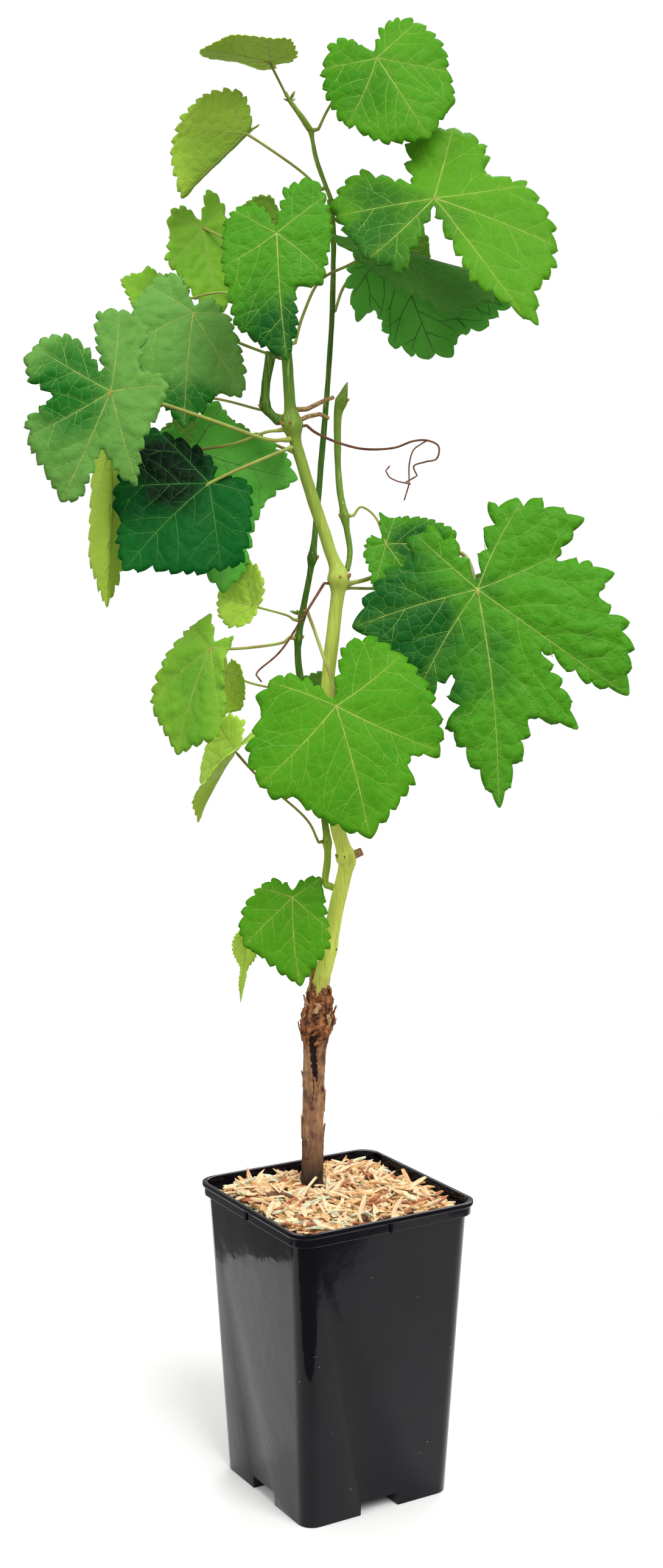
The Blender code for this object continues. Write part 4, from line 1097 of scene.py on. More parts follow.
class GRAPEVINE_OT_filling(bpy.types.Operator):
    """Model the potting mix and the loose wood chips on it"""

    bl_idname = "grapevine.filling"
    bl_label = "Filling"

    def execute(self, context):
        self.model_mix()
        self.scatter_chips(context.scene.grapevine_pot.chip_count)
        return {"FINISHED"}

    def model_mix(self):
        """The crumbly top as a dense grid, pressed into the pot's round-cornered square."""
        half = BODY_HALF - WALL - GAP
        mix = added(
            bpy.ops.mesh.primitive_grid_add,
            x_subdivisions=MIX_STEPS,
            y_subdivisions=MIX_STEPS,
            size=2 * half * MM,
        )
        bpy.ops.object.mode_set(mode="EDIT")
        bpy.ops.mesh.select_all(action="SELECT")
        bpy.ops.mesh.extrude_region_move(TRANSFORM_OT_translate={"value": (0, 0, FILL_EDGE * MM)})
        bpy.ops.object.mode_set(mode="OBJECT")
        for vertex in mix.data.vertices:
            x, y = vertex.co.x / MM, vertex.co.y / MM
            share = max(abs(x), abs(y)) / half
            top = vertex.co.z > 0
            widest = half if top else FOOT_HALF - WALL - 4 * GAP
            direction = Vector((x, y, 0)).normalized()
            crumbs = 2.2 * noise.fractal(Vector((x, y, 0)) / 9.0, 0.8, 2.0, 4)
            z = fill_height(x, y) - 3.0 + crumbs if top else NOTCH_HEIGHT + WALL + GAP
            reach = rounded_reach(widest, MIX_CORNER, math.atan2(y, x)) * share
            vertex.co = (direction * reach + Vector((0, 0, z))) * MM
        coat(mix, potting_mix())
        smooth_by_angle(mix, 60)
        mix.name = "potting_mix"
        finish_piece(mix, "wood_chips", "filling")

    def scatter_chips(self, count):
        """Chips of five woods lie on the mix, one piece for each wood."""
        rng = random.Random(7)
        half = BODY_HALF - WALL
        pools = {name: ([], [], []) for name in WOODS}
        weights = [wood.share for wood in WOODS.values()]
        for number in range(count):
            name = rng.choices(list(WOODS), weights)[0]
            length = rng.choice([rng.uniform(*span) for span in CHIP_LENGTHS])
            width = rng.uniform(1.4, 3.2) if length > 9 else rng.uniform(1.4, 4.6)
            thick = rng.uniform(0.6, 1.6)
            points, faces = chip(rng, length, width, thick)
            angle = rng.uniform(0, math.tau)
            x = rng.uniform(-1, 1) * (half - 0.9 - abs(length / 2 * math.cos(angle)))
            y = rng.uniform(-1, 1) * (half - 0.9 - abs(length / 2 * math.sin(angle)))
            if rounded_reach(half - 2, 10, math.atan2(y, x)) < math.hypot(x, y) + length * 0.3:
                continue
            tilt = rng.gauss(0, 0.22)
            layer = rng.uniform(-2.5, 3.6)
            roll = rng.gauss(0, 0.4)
            turn = Euler((roll, tilt, angle)).to_matrix()
            place = Vector((x, y, fill_height(x, y) + layer + abs(math.sin(tilt)) * length * 0.3))
            pool_points, pool_faces, grain = pools[name]
            for corners in faces:
                grain += [(points[c].x + number, points[c].y + points[c].z + number) for c in corners]
            pool(pool_points, pool_faces, [(turn @ p + place) * MM for p in points], faces)
        for name, wood in WOODS.items():
            points, faces, grain = pools[name]
            skin = chip_wood(name + "_wood", wood.light, wood.dark)
            piece = from_arrays(name, points, faces, skin, smooth=False)
            layer = piece.data.uv_layers.new(name="grain")
            layer.uv.foreach_set("vector", [number for pair in grain for number in pair])
            finish_piece(piece, "wood_chips")


# Limbs


def limb_path(name, line, sides, material):
    """A tube along (point, radius) pairs: a curve with a round bevel, made a mesh."""
    path = added(bpy.ops.curve.primitive_nurbs_path_add)
    path.location = (0, 0, 0)
    path.data.splines.clear()
    spline = path.data.splines.new("POLY")
    spline.points.add(len(line) - 1)
    for stop, (place, radius) in zip(spline.points, line):
        stop.co = (*(TO_WORLD @ place), 1.0)
        stop.radius = radius
    path.data.bevel_depth = MM
    path.data.bevel_resolution = (sides - 4) // 2
    path.data.use_fill_caps = True
    path.data.twist_mode = "MINIMUM"
    bpy.ops.object.convert(target="MESH")
    made = bpy.context.active_object
    made.name = name
    coat(made, material)
    made.data.polygons.foreach_set("use_smooth", [True] * len(made.data.polygons))
    return made


def carve(piece, depth_mm, period_mm, stretch):
    """Moves each point along its normal by a noise that is stretched along the limb's height."""
    scale = Vector((1 / period_mm, 1 / period_mm, 1 / (period_mm * stretch))) / MM
    moves = []
    for vertex in piece.data.vertices:
        spot = Vector((vertex.co.x * scale.x, vertex.co.y * scale.y, vertex.co.z * scale.z))
        moves.append(vertex.normal * depth_mm * MM * noise.fractal(spot, 0.9, 2.0, 3))
    for vertex, move in zip(piece.data.vertices, moves):
        vertex.co += move


def even_line(line, step):
    """The same (point, radius) line with a point at every step of its length."""
    made = [line[0]]
    for (start, thick), (stop, thin) in zip(line, line[1:]):
        count = max(1, round((stop - start).length / step))
        for k in range(1, count + 1):
            made.append((start.lerp(stop, k / count), thick + (thin - thick) * k / count))
    return made


def fine_line(limb, sink=0.0, step=1.6):
    """(point, radius) along a limb in small steps, with its start sunk into what carries it."""
    bends = seated_bends(limb)
    bends[0] = bends[0] + (bends[0] - bends[1]).normalized() * sink
    return even_line(with_radii(limb, flowing(bends, 8)), step)


def ease(low, high, value):
    """A smooth step from 0 to 1 while a value runs from low to high."""
    share = clamp((value - low) / (high - low))
    return share * share * (3 - 2 * share)


def peeling_strip(line, turn, low, high, width, lift):
    """A strip of loose bark over the stem between two heights: attached low, curling out at its top."""
    points, faces = [], []
    for k in range(STRIP_STEPS):
        share = k / (STRIP_STEPS - 1)
        z = low + (high - low) * share
        centre, radius, _ = at_height(line, z)
        out = radius + 0.4 + lift * share ** 2.5
        narrow = width * (1.0 - 0.55 * share ** 2) * (1.0 + 0.25 * math.sin(9.1 * k + turn))
        for side in (-0.5, 0.0, 0.5):
            angle = turn + side * narrow / radius + 0.12 * math.sin(5 * share + turn)
            edge = out - 0.5 * abs(side)
            spot = Vector((centre.x + edge * math.cos(angle), centre.y + edge * math.sin(angle), z))
            points.append(TO_WORLD @ spot)
    for a in range(3 * STRIP_STEPS - 3):
        if a % 3 < 2:
            faces.append((a, a + 1, a + 4, a + 3))
    return points, faces


class GRAPEVINE_OT_trunk(bpy.types.Operator):
    """Model the woody stem with its split shank and the ragged bark of the graft"""

    bl_idname = "grapevine.trunk"
    bl_label = "Trunk"

    def execute(self, context):
        bark = old_bark()
        dry = plain_skin("dry_bark_flake", "#d2ac80", "#8f6240", 0.8, 3.0)
        line = fine_line(TRUNK, sink=5.0, step=0.9) + COLLAR
        stem = limb_path("stem", line, 96, bark)
        self.weather(stem, line)
        parts = [stem]
        # Every third strip is dry, and so are the last ones, on the stub
        for number, strip in enumerate(self.strips()):
            wood = dry if number % 3 == 0 or number > 48 else bark
            flake = from_arrays("strip", *peeling_strip(line, *strip), wood)
            thick = flake.modifiers.new("thickness", "SOLIDIFY")
            thick.thickness = 0.6 * MM
            thick.offset = 0.0
            apply_all(flake)
            parts.append(flake)
        finish_piece(join("bark_stem", parts), "bark", "trunk")
        return {"FINISHED"}

    def strips(self):
        """Each strip's turn, heights of foot and top, width and how far its top curls out."""
        rng = random.Random(3)
        made = []
        for count, feet, runs, widths, lifts in LOOSE_BARK:
            for number in range(count):
                low = rng.uniform(*feet)
                high = min(STRIP_TOP, low + rng.uniform(*runs))
                made.append((number * 2.4, low, high, rng.uniform(*widths), rng.uniform(*lifts)))
        # The stub of the rootstock stands up behind the cane
        for number in range(16):
            high = rng.uniform(331, 338) + (6 if number > 8 else 0)
            made.append((0.2 + number * 0.2, 313, high, rng.uniform(4, 6.5), rng.uniform(0.8, 2.6)))
        return made

    def weather(self, stem, line):
        """Carves fibres on the shank, lumps at the graft and foot, and one long split on the near side."""
        back = TO_WORLD.inverted()
        opened = []
        moves = []
        for vertex in stem.data.vertices:
            spot = back @ vertex.co
            centre, radius, _ = at_height(line, spot.z)
            turn = math.atan2(spot.x - centre.x, centre.y - spot.y)
            fibre = noise.fractal(Vector((spot.x / 3.5, spot.y / 3.5, spot.z / 30)), 0.9, 2.0, 4)
            lump = noise.fractal(Vector((spot.x / 5, spot.y / 5, spot.z / 7)), 0.8, 2.1, 5)
            rough = max(ease(*GRAFT_LUMPS, spot.z), 0.55 * ease(*FOOT_LUMPS, spot.z), 0.12)
            jag = noise.noise(Vector((spot.z / 2.0, 3.7, 0.0)))
            half = 0.3 + 3.0 * ease(*SPLIT_OPENING, spot.z) + 1.1 * jag
            arc = abs(turn * radius - 1.3 * math.sin(spot.z / 8.0))
            within = ease(*SPLIT_FOOT, spot.z) * ease(*SPLIT_HEAD, spot.z)
            split = within * ease(half + 0.3, half - 0.3, arc)
            rim = within * math.exp(-(((arc - half - 0.6) / 0.6) ** 2))
            opened.append(split)
            moves.append(vertex.normal * MM * (0.35 * fibre + 2.5 * rough * lump - 1.8 * split + 0.5 * rim))
        stem.data.attributes.new("split", "FLOAT", "POINT").data.foreach_set("value", opened)
        for vertex, move in zip(stem.data.vertices, moves):
            vertex.co += move


def bud_shape(name, length_mm, width_mm, material):
    """A bud modelled once: a ball drawn out to a point, at the origin along +Z."""
    bud = added(bpy.ops.mesh.primitive_uv_sphere_add, segments=12, ring_count=8, radius=0.5)
    bud.name = name
    for vertex in bud.data.vertices:
        share = vertex.co.z + 0.5
        thin = 1.0 - 0.55 * share ** 2
        vertex.co.x *= width_mm * MM * thin
        vertex.co.y *= width_mm * MM * thin
        vertex.co.z = share ** 0.85 * length_mm * MM
    coat(bud, material)
    smooth_by_angle(bud, 60)
    return bud


def set_copy(item, place, toward, size):
    """A copy of a small shape with its own mesh, standing at a place and pointing some way."""
    copy = item.copy()
    copy.data = item.data.copy()
    bpy.context.scene.collection.objects.link(copy)
    turn = (TO_WORLD.to_3x3() @ Vector(toward)).to_track_quat("Z", "Y").to_matrix().to_4x4()
    copy.data.transform(Matrix.Translation(TO_WORLD @ Vector(place)) @ turn @ Matrix.Scale(size, 4))
    return copy


class GRAPEVINE_OT_canes(bpy.types.Operator):
    """Model the green cane, its side shoots, cut stubs and buds"""

    bl_idname = "grapevine.canes"
    bl_label = "Canes"

    def execute(self, context):
        colours = context.scene.grapevine_colours
        green = cane_skin("green_cane_skin", "#e2ee6c", colours.cane, 470, 740, "#8a7a3c", "#a58a52", 326)
        young = cane_skin("young_shoot_skin", "#567a2a", "#82a43e", 450, 800, "#8a6a3a", "#a2bf48", 430)
        grown = cane_skin("grown_shoot_skin", "#426c22", "#82a43e", 740, 880, "#7a5a34", "#a2bf48", 430)
        skins = {"main_cane": green, "long_shoot": grown, "spur": grown}
        bud = bud_shape("bud", 5.0, 3.2, plain_skin("bud_scale", "#8a5a34", "#b98a50", 0.6, 2.0))
        cut = plain_skin("dry_cut_wood", "#b99a68", "#7d5b38", 0.85, 1.5)
        sprout = bud_shape("sprout", 6.5, 2.2, young)
        for name, limb in LIMBS.items():
            sides = 24 if name == "main_cane" else 16
            skin = limb_path(name + "_skin", fine_line(limb, sink=1.5), sides, skins.get(name, young))
            carve(skin, 0.35, 7.0, 4.0)
            parts = [skin, *self.buds(limb, bud)]
            if name == "main_cane":
                parts += [limb_path("stub", fine_line(stub), 12, cut) for stub in CUT_STUBS]
            for carrier, place, toward, size in SPROUTS:
                if carrier == name:
                    parts.append(set_copy(sprout, place, toward, size))
            finish_piece(join(name + "_skin", parts), "green_cane", name)
        bpy.data.objects.remove(bud)
        bpy.data.objects.remove(sprout)
        return {"FINISHED"}

    def buds(self, limb, bud):
        """A bud and two scales over each swollen joint, on alternate sides."""
        made = []
        line = limb_line(limb)
        for number, (height, swell, _) in enumerate(limb.knuckles):
            if height < line[0][0].z + 2 or height > line[-1][0].z - 2:
                continue
            centre, radius, along = at_height(line, height)
            side = Vector((1 if number % 2 else -1, -0.6, 0))
            side = (side - along * side.dot(along)).normalized()
            for sway, size in ((0.0, 0.75), (0.9, 0.5), (-0.9, 0.45)):
                out = Matrix.Rotation(sway, 3, along) @ side
                size *= min(1.2, 0.35 + swell * 0.3)
                made.append(set_copy(bud, centre + out * (radius * 0.86), out * 0.7 + along, size))
        return made


class GRAPEVINE_OT_tendrils(bpy.types.Operator):
    """Model the thin dry tendrils that fork and curl"""

    bl_idname = "grapevine.tendrils"
    bl_label = "Tendrils"

    def execute(self, context):
        dry = plain_skin("dry_tendril_bark", "#8a5a3c", "#5b3626", 0.7, 4.0)
        for name, strands in TENDRILS.items():
            tubes = [limb_path(name, fine_line(strand, sink=0.8), 10, dry) for strand in strands]
            finish_piece(join(name + "_strands", tubes), "tendril", name)
        return {"FINISHED"}


# Leaves


def flat_edge(leaf, step):
    """The flat blade's smooth outline as (along, side) points, from its notch round and back to it."""
    middle = math.radians((leaf.edge[0][0] + leaf.edge[-1][0]) / 2 + 180.0)
    turned = [(middle - math.tau, SINUS_REACH)] + [(math.radians(a), r) for a, r in leaf.edge]
    corners = [Vector((r * math.cos(a), r * math.sin(a))) for a, r in turned + [(middle, SINUS_REACH)]]
    points = [corners[0]]
    for start, stop in zip(corners, corners[1:]):
        count = max(1, round((stop - start).length / step))
        points += [start.lerp(stop, k / count) for k in range(1, count + 1)]
    for _ in range(EDGE_SMOOTHING):
        inner = [(a + 2 * b + c) / 4 for a, b, c in zip(points, points[1:], points[2:])]
        points = [points[0], *inner, points[-1]]
    return points


def toothed(points, rng, width, depth):
    """The outline with round teeth that lean towards each lobe's tip and end in a small point."""
    reach = [p.length for p in points]
    last = len(points) - 1
    span = max(2, round(0.9 * width / EDGE_STEP))
    inner = range(span, last - span)
    tips = [i for i in inner if reach[i] == max(reach[i - span:i + span + 1])]
    dips = [i for i in inner if reach[i] == min(reach[i - span:i + span + 1])] + [0, last]
    stops = [0, *tips, last]
    peaks = []
    for start, stop in zip(stops, stops[1:]):
        count = max(1, round((stop - start) * EDGE_STEP / width))
        for k in range(count):
            sway = rng.uniform(-0.28, 0.28) if k else 0.0
            peaks.append(round(start + (stop - start) * (k + sway) / count))
    peaks.append(last)
    made = list(points)
    for start, stop in zip(peaks, peaks[1:]):
        notch = round(start + (stop - start) * (0.24 if reach[stop] > reach[start] else 0.76))
        tip = min(tips, key=lambda i: abs(i - notch))
        opposite = clamp(2 * tip - notch, 0, last)
        deep = depth * rng.uniform(0.75, 1.2) * min(1.3, (stop - start) * EDGE_STEP / width)
        deep = min(deep, 0.17 * (points[notch] - points[opposite]).length)
        for i in range(start, stop):
            share = (notch - i) / max(1, notch - start) if i < notch else (i - notch) / (stop - notch)
            run = points[i + 1] - points[max(i - 1, 0)]
            out = Vector((run.y, -run.x)).normalized()
            fade = min(1.0, min(abs(i - dip) for dip in dips) / 11)
            rise = 0.88 * (1 - (1 - share) ** 2.2) + 0.12 * max(0.0, 6 * share - 5)
            made[i] = points[i] + out * fade * deep * (rise - 0.6)
    return made


def tree_of(lines):
    """A search tree over the points of flat lines."""
    spots = [spot for line in lines for spot in line]
    tree = KDTree(len(spots))
    for k, spot in enumerate(spots):
        tree.insert(spot.to_3d(), k)
    tree.balance()
    return tree


def gap_to(tree, spot):
    """How far a flat spot is from the nearest point of the tree."""
    return tree.find(spot.to_3d())[2]


class FineLeaf:
    """A leaf of the rule, carried on to its teeth, its side veins and the puffed blade between them.

    The flat blade is measured in millimetres along its midrib and to its side.
    """

    def __init__(self, name, leaf, look):
        self.name = name
        self.leaf = leaf
        self.look = look
        self.rng = random.Random(name)
        self.length = max(reach for _, reach in leaf.edge)
        self.start = math.radians((leaf.edge[0][0] + leaf.edge[-1][0]) / 2 - 180.0)
        self.smooth = flat_edge(leaf, EDGE_STEP)
        self.turns = []
        for spot in self.smooth:
            self.turns.append(self.turn_of(spot, self.turns[-1] if self.turns else self.start))
        self.depth = self.sized(TOOTH_DEPTH) * look.tooth
        self.edge = toothed(self.smooth, self.rng, self.sized(TOOTH_WIDTH) * look.tooth, self.depth)[:-1]
        self.vein_turns = [math.radians(v) for v in look.veins]
        self.main = [self.main_vein(turn) for turn in self.vein_turns]
        self.side = []
        for turn, vein in zip(self.vein_turns, self.main):
            self.side += self.side_veins(turn, vein)
        self.near_edge = tree_of([self.edge])
        self.near_main = tree_of(self.main)
        self.near_vein = tree_of(self.main + self.side)

    def sized(self, rule):
        """A size by a rule: its share of the leaf's length, within its least and its most."""
        share, least, most = rule
        return clamp(share * self.length, least, most)

    def turn_of(self, spot, near=None):
        """The angle of a spot round the junction, counted on from the blade's notch."""
        turn = math.atan2(spot.y, spot.x)
        if near is None:
            return self.start + (turn - self.start) % math.tau
        return turn + math.tau * round((near - turn) / math.tau)

    def reach_at(self, turn):
        """How far the smooth outline reaches at an angle."""
        i = clamp(bisect.bisect(self.turns, turn), 1, len(self.turns) - 1)
        low, high = self.turns[i - 1], self.turns[i]
        share = clamp((turn - low) / max(high - low, 1e-6))
        return self.smooth[i - 1].length * (1 - share) + self.smooth[i].length * share

    def main_vein(self, turn):
        """A main vein's points: from the junction nearly to the edge, with a slight bow."""
        far = self.reach_at(turn) * 0.97
        bow = self.rng.uniform(-0.03, 0.03) * far
        count = max(4, round(far / VEIN_STEP))
        ahead = Vector((math.cos(turn), math.sin(turn)))
        beside = Vector((-ahead.y, ahead.x))
        shares = [k / count for k in range(count + 1)]
        return [ahead * far * share + beside * bow * math.sin(math.pi * share) for share in shares]

    def trace(self, spot, heading, turn):
        """A lesser vein's points: from a spot it bends towards the main vein's tip and ends by the edge."""
        line = [spot]
        others = [v for v in self.vein_turns if v != turn]
        while True:
            spot = spot + VEIN_STEP * Vector((math.cos(heading), math.sin(heading)))
            here = self.turn_of(spot)
            outside = spot.length > self.reach_at(here) - 0.6 * self.depth - 0.8
            if outside or abs(here - turn) > min(abs(here - v) for v in others) - 0.03:
                return line
            line.append(spot)
            lean = heading - turn
            if abs(lean) > math.radians(20):
                heading -= math.copysign(math.radians(1.5), lean)
            heading += math.radians(self.rng.uniform(-2.0, 2.0))

    def side_veins(self, turn, vein):
        """The side veins of a main vein, which leave it in turn on both sides, and their forks."""
        spacing = self.sized(VEIN_SPACING)
        made = []
        for side in (-1, 1):
            far = spacing * (0.75 if side > 0 else 1.15)
            while far < vein[-1].length * 0.92:
                spot = vein[min(len(vein) - 2, round(far / VEIN_STEP))]
                line = self.trace(spot, turn + side * math.radians(self.rng.uniform(44, 56)), turn)
                k = round(0.5 * len(line))
                if k > 4:
                    run = line[k + 1] - line[k - 1]
                    fork = self.trace(line[k], math.atan2(run.y, run.x) + side * math.radians(34), turn)
                    if len(fork) > 2:
                        made.append(fork)
                if len(line) > 2:
                    made.append(line)
                far += spacing * self.rng.uniform(0.8, 1.15)
        return made

    def spread_points(self):
        """Points over the blade in a loose triangular grid that keeps clear of its edge and veins."""
        size = clamp(self.length / GRID_STEPS, *GRID_SIZE)
        rows = math.ceil(self.length / (size * 0.866))
        columns = math.ceil(self.length / size)
        made = []
        for row in range(-rows, rows + 1):
            for column in range(-columns, columns + 1):
                shift = Vector((self.rng.uniform(-0.2, 0.2), self.rng.uniform(-0.2, 0.2))) * size
                spot = Vector(((column + row % 2 / 2) * size, row * size * 0.866)) + shift
                inside = self.reach_at(self.turn_of(spot)) - 0.5 * self.depth - 0.5 * size
                if spot.length < inside and gap_to(self.near_vein, spot) > 0.5 * size:
                    made.append(spot)
        return made

    def blade(self, skins):
        """The blade as a thin closed sheet of triangles, whose edges run along its outline and its veins."""
        points = list(self.edge)
        outline = list(range(len(points)))
        creases = []
        for vein in self.main + self.side:
            start = len(points)
            points += vein
            creases += [(start + k, start + k + 1) for k in range(len(vein) - 1)]
        points += self.spread_points()
        flat, _, faces, *_ = delaunay_2d_cdt(points, creases, [outline], 1, 1e-3)
        used = sorted({c for corners in faces for c in corners})
        index = {c: k for k, c in enumerate(used)}
        flat = [flat[c] for c in used]
        faces = [tuple(index[c] for c in corners) for corners in faces]
        world = [TO_WORLD @ self.at(spot, self.puff(spot)) for spot in flat]
        tone = self.look.tone
        piece = from_arrays("blade", world, faces, skins[tone], skins[tone + "_under"])
        layer = piece.data.uv_layers.new(name="flat")
        layer.uv.foreach_set("vector", [x for corners in faces for c in corners for x in flat[c]])
        by_vein = [math.exp(-gap_to(self.near_main, spot) / 2.2) for spot in flat]
        for name, values in (("by_vein", by_vein), ("drift", [self.drift_and_shade_at(spot) for spot in flat])):
            piece.data.attributes.new(name, "FLOAT", "POINT").data.foreach_set("value", values)
        solid = piece.modifiers.new("thickness", "SOLIDIFY")
        solid.thickness = BLADE_THICKNESS * MM
        solid.offset = -1.0
        solid.material_offset = 1
        solid.material_offset_rim = 0
        apply_all(piece)
        return piece

    def puff(self, spot):
        """How far the blade stands up between its veins, with its pucker and its edge's roll and ripple."""
        vein, main, edge = (gap_to(tree, spot) for tree in (self.near_vein, self.near_main, self.near_edge))
        between = 1.0 - math.exp(-((vein / 2.8) ** 2))
        between += 1.3 * (1.0 - math.exp(-((main / 8.0) ** 2))) * min(1.0, self.length / 70)
        pucker = 1.0 + 0.8 * noise.noise(Vector((spot.x, spot.y, self.length)) / 7.0)
        margin = max(0.0, 1.0 - edge / 14) ** 2
        ripple = 2.0 * noise.noise(Vector((spot.x, spot.y, self.length)) / 17.0) * margin
        return between * pucker * self.look.puff + ripple - 0.7 * max(0.0, 1.0 - edge / 4) ** 2

    def drift_and_shade_at(self, spot):
        """How far the green drifts to its darker green, in clouds and in a patch of painted shade."""
        cloud = 0.28 + 0.4 * noise.noise(Vector((spot.x, spot.y, 2 * self.length)) / 24.0)
        side = self.look.dark_side
        if side is None:
            return cloud
        # The patch is painted shade, darkest at its middle
        turn = math.radians(side)
        away = self.look.dark_reach * self.length
        patch = Vector((away * math.cos(turn), away * math.sin(turn)))
        return cloud + max(-0.3, 0.75 * (1.0 - (spot - patch).length / (0.5 * self.length)))

    def at(self, spot, lift=0.0):
        """Where a spot of the flat blade lies in the vine's own millimetres."""
        return blade_point(self.leaf, spot.x, spot.y, lift)

    def rib(self, vein, thick):
        """(point, radius) along a vein: it stands out of both sides, and further on the underside."""
        made = []
        for k, spot in enumerate(vein):
            radius = RIB_END_RADIUS + (thick - RIB_END_RADIUS) * (1 - k / (len(vein) - 1)) ** 0.8
            lift = self.puff(spot) - BLADE_THICKNESS / 2 - 0.4 * max(0.0, radius - 0.3)
            made.append((self.at(spot, lift), radius))
        return made

    def stalk(self):
        """(point, radius) along the stalk, sunk into its limb and spread under the blade's root."""
        leaf = self.leaf
        stops = [Vector(v) for v in leaf.via] + [self.at(Vector((0, 0)), -0.3)]
        seat = seat_on(LIMBS[leaf.limb], leaf.height, stops[0], leaf.stalk * 1.4)
        seat[0] = seat[0] + (seat[0] - seat[1]).normalized() * 1.2
        end = self.at(Vector((min(5.0, 0.08 * self.length), 0)), -0.5)
        line = flowing(seat + stops + [end], 8)
        run = run_along(line)
        made = []
        for point, far in zip(line, run):
            foot = math.exp(-((far / 4.0) ** 2))
            head = math.exp(-(((run[-1] - far) / 7.0) ** 2))
            made.append((point, leaf.stalk * (0.92 + 0.65 * foot + 0.18 * head)))
        made[-1] = (made[-1][0], 0.35 * leaf.stalk)
        return even_line(made, 2.0)

    def build(self, skins):
        """The whole leaf as one piece: its blade, its stalk, its main veins and its side veins."""
        dark = self.look.tone in ("shaded", "dark")
        bold = 0.4 + 0.6 * min(1.0, self.length / LARGE_LEAF)
        main = []
        for turn, vein in zip(self.vein_turns, self.main):
            main.append(self.rib(vein, (MIDRIB_RADIUS if abs(turn) < 0.1 else MAIN_RIB_RADIUS) * bold))
        side = [self.rib(vein, SIDE_RIB_RADIUS) for vein in self.side]
        drawn = (
            ("stalk", 10, [self.stalk()]),
            ("dark_rib" if dark else "rib", 6, main),
            ("dark_rib" if dark else "fine_rib", 6, side),
        )
        parts = [self.blade(skins)]
        for skin, sides, lines in drawn:
            points, faces = [], []
            for line in lines:
                tube_points, tube_faces = tube(line, sides)
                pool(points, faces, [TO_WORLD @ p for p in tube_points], tube_faces)
            parts.append(from_arrays(skin, points, faces, skins[skin]))
        return join(self.name + "_blade", parts)


class GRAPEVINE_OT_leaves(bpy.types.Operator):
    """Model each leaf with its teeth, veins and stalk"""

    bl_idname = "grapevine.leaves"
    bl_label = "Leaves"

    def execute(self, context):
        skins = make_leaf_skins(context.scene.grapevine_colours)
        for name, leaf in LEAVES.items():
            piece = FineLeaf(name, leaf, LOOKS[name]).build(skins)
            finish_piece(piece, "leaf", name)
        return {"FINISHED"}


# Stage


def towards(turn, height):
    """The way to something this far round from the camera's side and this high up, both in degrees."""
    turn, height = math.radians(CAMERA_TURN + turn), math.radians(height)
    return Vector((math.sin(turn) * math.cos(height), -math.cos(turn) * math.cos(height), math.sin(height)))


class GRAPEVINE_OT_stage(bpy.types.Operator):
    """Set the pale table, the soft studio lights and the camera"""

    bl_idname = "grapevine.stage"
    bl_label = "Stage"

    def execute(self, context):
        studio = context.scene.grapevine_studio
        self.lay_floor()
        self.light_room(context, studio.fill)
        for name, (turn, height, share) in LIGHTS.items():
            self.hang_light(name, turn, height, studio.key * share)
        self.set_camera(context)
        return {"FINISHED"}

    def lay_floor(self):
        """A white table top: its near edges are just out of the camera's view, and the pot mirrors them."""
        floor = added(bpy.ops.mesh.primitive_plane_add, size=1.0)
        floor.name = "studio_floor"
        right = towards(90, 0)
        away = towards(180, 0)
        floor.scale = (TABLE_LEFT + TABLE_RIGHT, TABLE_NEAR + TABLE_FAR, 1.0)
        floor.location = right * (TABLE_RIGHT - TABLE_LEFT) / 2 + away * (TABLE_FAR - TABLE_NEAR) / 2
        floor.rotation_euler.z = math.radians(CAMERA_TURN)
        settle(floor)
        # Matt emulsion: it scatters light evenly and has no gloss
        paint, _, shader = new_material("matt_white_emulsion", 0.95, specular=0.0)
        shader.inputs["Base Color"].default_value = linear("#f6f6f4")
        coat(floor, paint)

    def light_room(self, context, fill):
        """The room is white to the camera. It lights the plant evenly and less brightly, least from below."""
        world = bpy.data.worlds.new("studio")
        world.use_nodes = True
        tree = world.node_tree
        way = add_node(tree, "ShaderNodeTexCoord", output="Generated")
        rise = add_node(tree, "ShaderNodeSeparateXYZ", {"Vector": way}, "Z")
        glow = {"Value": rise, "From Min": -0.08, "From Max": 0.04, "To Min": 0.3, "To Max": fill}
        glow = add_node(tree, "ShaderNodeMapRange", glow, "Result")
        seen = add_node(tree, "ShaderNodeLightPath", output="Is Camera Ray")
        strength = {"Value": seen, "To Min": glow, "To Max": 1.0}
        strength = add_node(tree, "ShaderNodeMapRange", strength, "Result")
        backdrop = tree.nodes["Background"]
        backdrop.inputs["Color"].default_value = (1.0, 1.0, 1.0, 1.0)
        tree.links.new(strength, backdrop.inputs["Strength"])
        context.scene.world = world
        context.scene.view_settings.view_transform = "Standard"

    def hang_light(self, name, turn, height, power):
        """A wide, distant light that shines on the plant from a side."""
        light = bpy.data.lights.new(name + "_light", "SUN")
        light.energy = power
        light.angle = math.radians(LIGHT_WIDTH)
        lamp = bpy.data.objects.new(name + "_light", light)
        lamp.location = towards(turn, height)
        lamp.rotation_euler = lamp.location.to_track_quat("Z", "Y").to_euler()
        bpy.context.scene.collection.objects.link(lamp)

    def set_camera(self, context):
        """The camera stands before the pot's near corner and looks a little down on it."""
        data = bpy.data.cameras.new("camera")
        data.lens = CAMERA_LENS
        data.sensor_width = CAMERA_SENSOR
        camera = bpy.data.objects.new("camera", data)
        context.scene.collection.objects.link(camera)
        back = towards(0, CAMERA_RISE)
        aim = Vector((0, 0, CAMERA_AIM_HEIGHT)) - towards(90, 0) * CAMERA_AIM_LEFT
        camera.location = aim + back * CAMERA_DISTANCE
        camera.rotation_euler = back.to_track_quat("Z", "Y").to_euler()
        context.scene.camera = camera


# Sizes and colours that a user would change


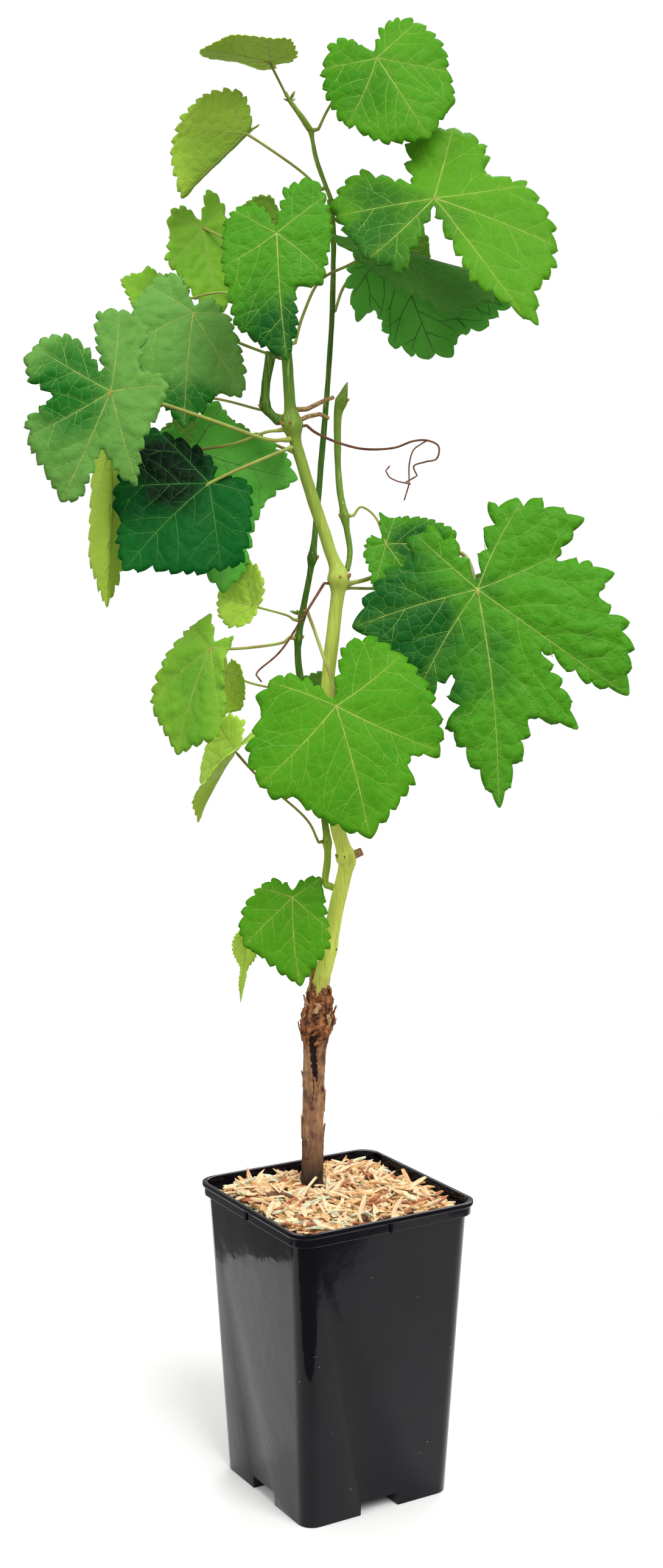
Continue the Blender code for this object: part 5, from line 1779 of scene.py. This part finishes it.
class GrapevinePot(bpy.types.PropertyGroup):
    corner_steps: bpy.props.IntProperty(
        name="Corner steps", description="How finely the pot's corners are rounded", default=8, min=2, max=16
    )
    edge_round: bpy.props.FloatProperty(
        name="Edge rounding",
        description="Radius of the moulded edges",
        default=0.0005,
        min=0.0,
        unit="LENGTH",
    )
    chip_count: bpy.props.IntProperty(
        name="Chips", description="How many wood chips lie on the potting mix", default=1500, min=0
    )


def colour_property(name, description, code):
    """A colour picker with its default as an sRGB hex code."""
    return bpy.props.FloatVectorProperty(
        name=name, description=description, subtype="COLOR", size=4, min=0.0, max=1.0, default=linear(code)
    )


class GrapevineColours(bpy.types.PropertyGroup):
    fresh: colour_property("Young leaf", "Colour of the young leaves", "#4e961a")
    soft: colour_property("Soft leaf", "Colour of the light green leaves", "#82ba34")
    # Brighter than the new leaves' own colour: it also paints the glow of light through them
    pale: colour_property("New leaf", "Colour of the yellow-green leaves", "#bce650")
    olive: colour_property("Tip leaf", "Colour of the leaves at the tip", "#8cb63a")
    grown: colour_property("Grown leaf", "Colour of the grown leaves", "#4a941a")
    # Partly the leaves' own greyish green and partly a painted sheen
    dull: colour_property("Dull leaf", "Colour of the dull green leaves", "#66a044")
    shaded: colour_property("Shaded leaf", "Colour of the shaded leaves", "#62be44")
    turned: colour_property("Turned leaf", "Colour of a leaf with a lobe turned from the light", "#56991e")
    dark: colour_property("Dark leaf", "Colour of the darkest leaves", "#0c5a1e")
    vein: colour_property("Vein", "Colour of the main veins", "#aec25c")
    cane: colour_property("Cane", "Colour of the green cane's upper part", "#3f7323")


class GrapevineStudio(bpy.types.PropertyGroup):
    key: bpy.props.FloatProperty(
        name="Key light", description="Strength of the main soft light", default=2.2, min=0.0
    )
    fill: bpy.props.FloatProperty(
        name="Fill", description="Strength of the even light from all round", default=0.62, min=0.0
    )


class GRAPEVINE_PT_panel(bpy.types.Panel):
    """Lists the pieces of the grapevine and their settings"""

    bl_idname = "GRAPEVINE_PT_panel"
    bl_label = "Potted Grapevine"
    bl_space_type = "VIEW_3D"
    bl_region_type = "UI"
    bl_category = "Grapevine"

    def draw(self, context):
        scene = context.scene
        for group in (scene.grapevine_pot, scene.grapevine_colours, scene.grapevine_studio):
            for name in group.__annotations__:
                self.layout.prop(group, name)
        for operator in OPERATORS:
            self.layout.operator(operator.bl_idname)


OPERATORS = (
    GRAPEVINE_OT_pot,
    GRAPEVINE_OT_filling,
    GRAPEVINE_OT_trunk,
    GRAPEVINE_OT_canes,
    GRAPEVINE_OT_tendrils,
    GRAPEVINE_OT_leaves,
    GRAPEVINE_OT_stage,
)
GROUPS = (GrapevinePot, GrapevineColours, GrapevineStudio)


def register():
    for item in (*GROUPS, *OPERATORS, GRAPEVINE_PT_panel):
        bpy.utils.register_class(item)
    bpy.types.Scene.grapevine_pot = bpy.props.PointerProperty(type=GrapevinePot)
    bpy.types.Scene.grapevine_colours = bpy.props.PointerProperty(type=GrapevineColours)
    bpy.types.Scene.grapevine_studio = bpy.props.PointerProperty(type=GrapevineStudio)


def unregister():
    del bpy.types.Scene.grapevine_studio
    del bpy.types.Scene.grapevine_colours
    del bpy.types.Scene.grapevine_pot
    for item in reversed((*GROUPS, *OPERATORS, GRAPEVINE_PT_panel)):
        bpy.utils.unregister_class(item)


def main():
    register()
    bpy.ops.grapevine.pot()
    bpy.ops.grapevine.filling()
    bpy.ops.grapevine.trunk()
    bpy.ops.grapevine.canes()
    bpy.ops.grapevine.tendrils()
    bpy.ops.grapevine.leaves()
    bpy.ops.grapevine.stage()
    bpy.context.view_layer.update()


if __name__ == "__main__":
    main()
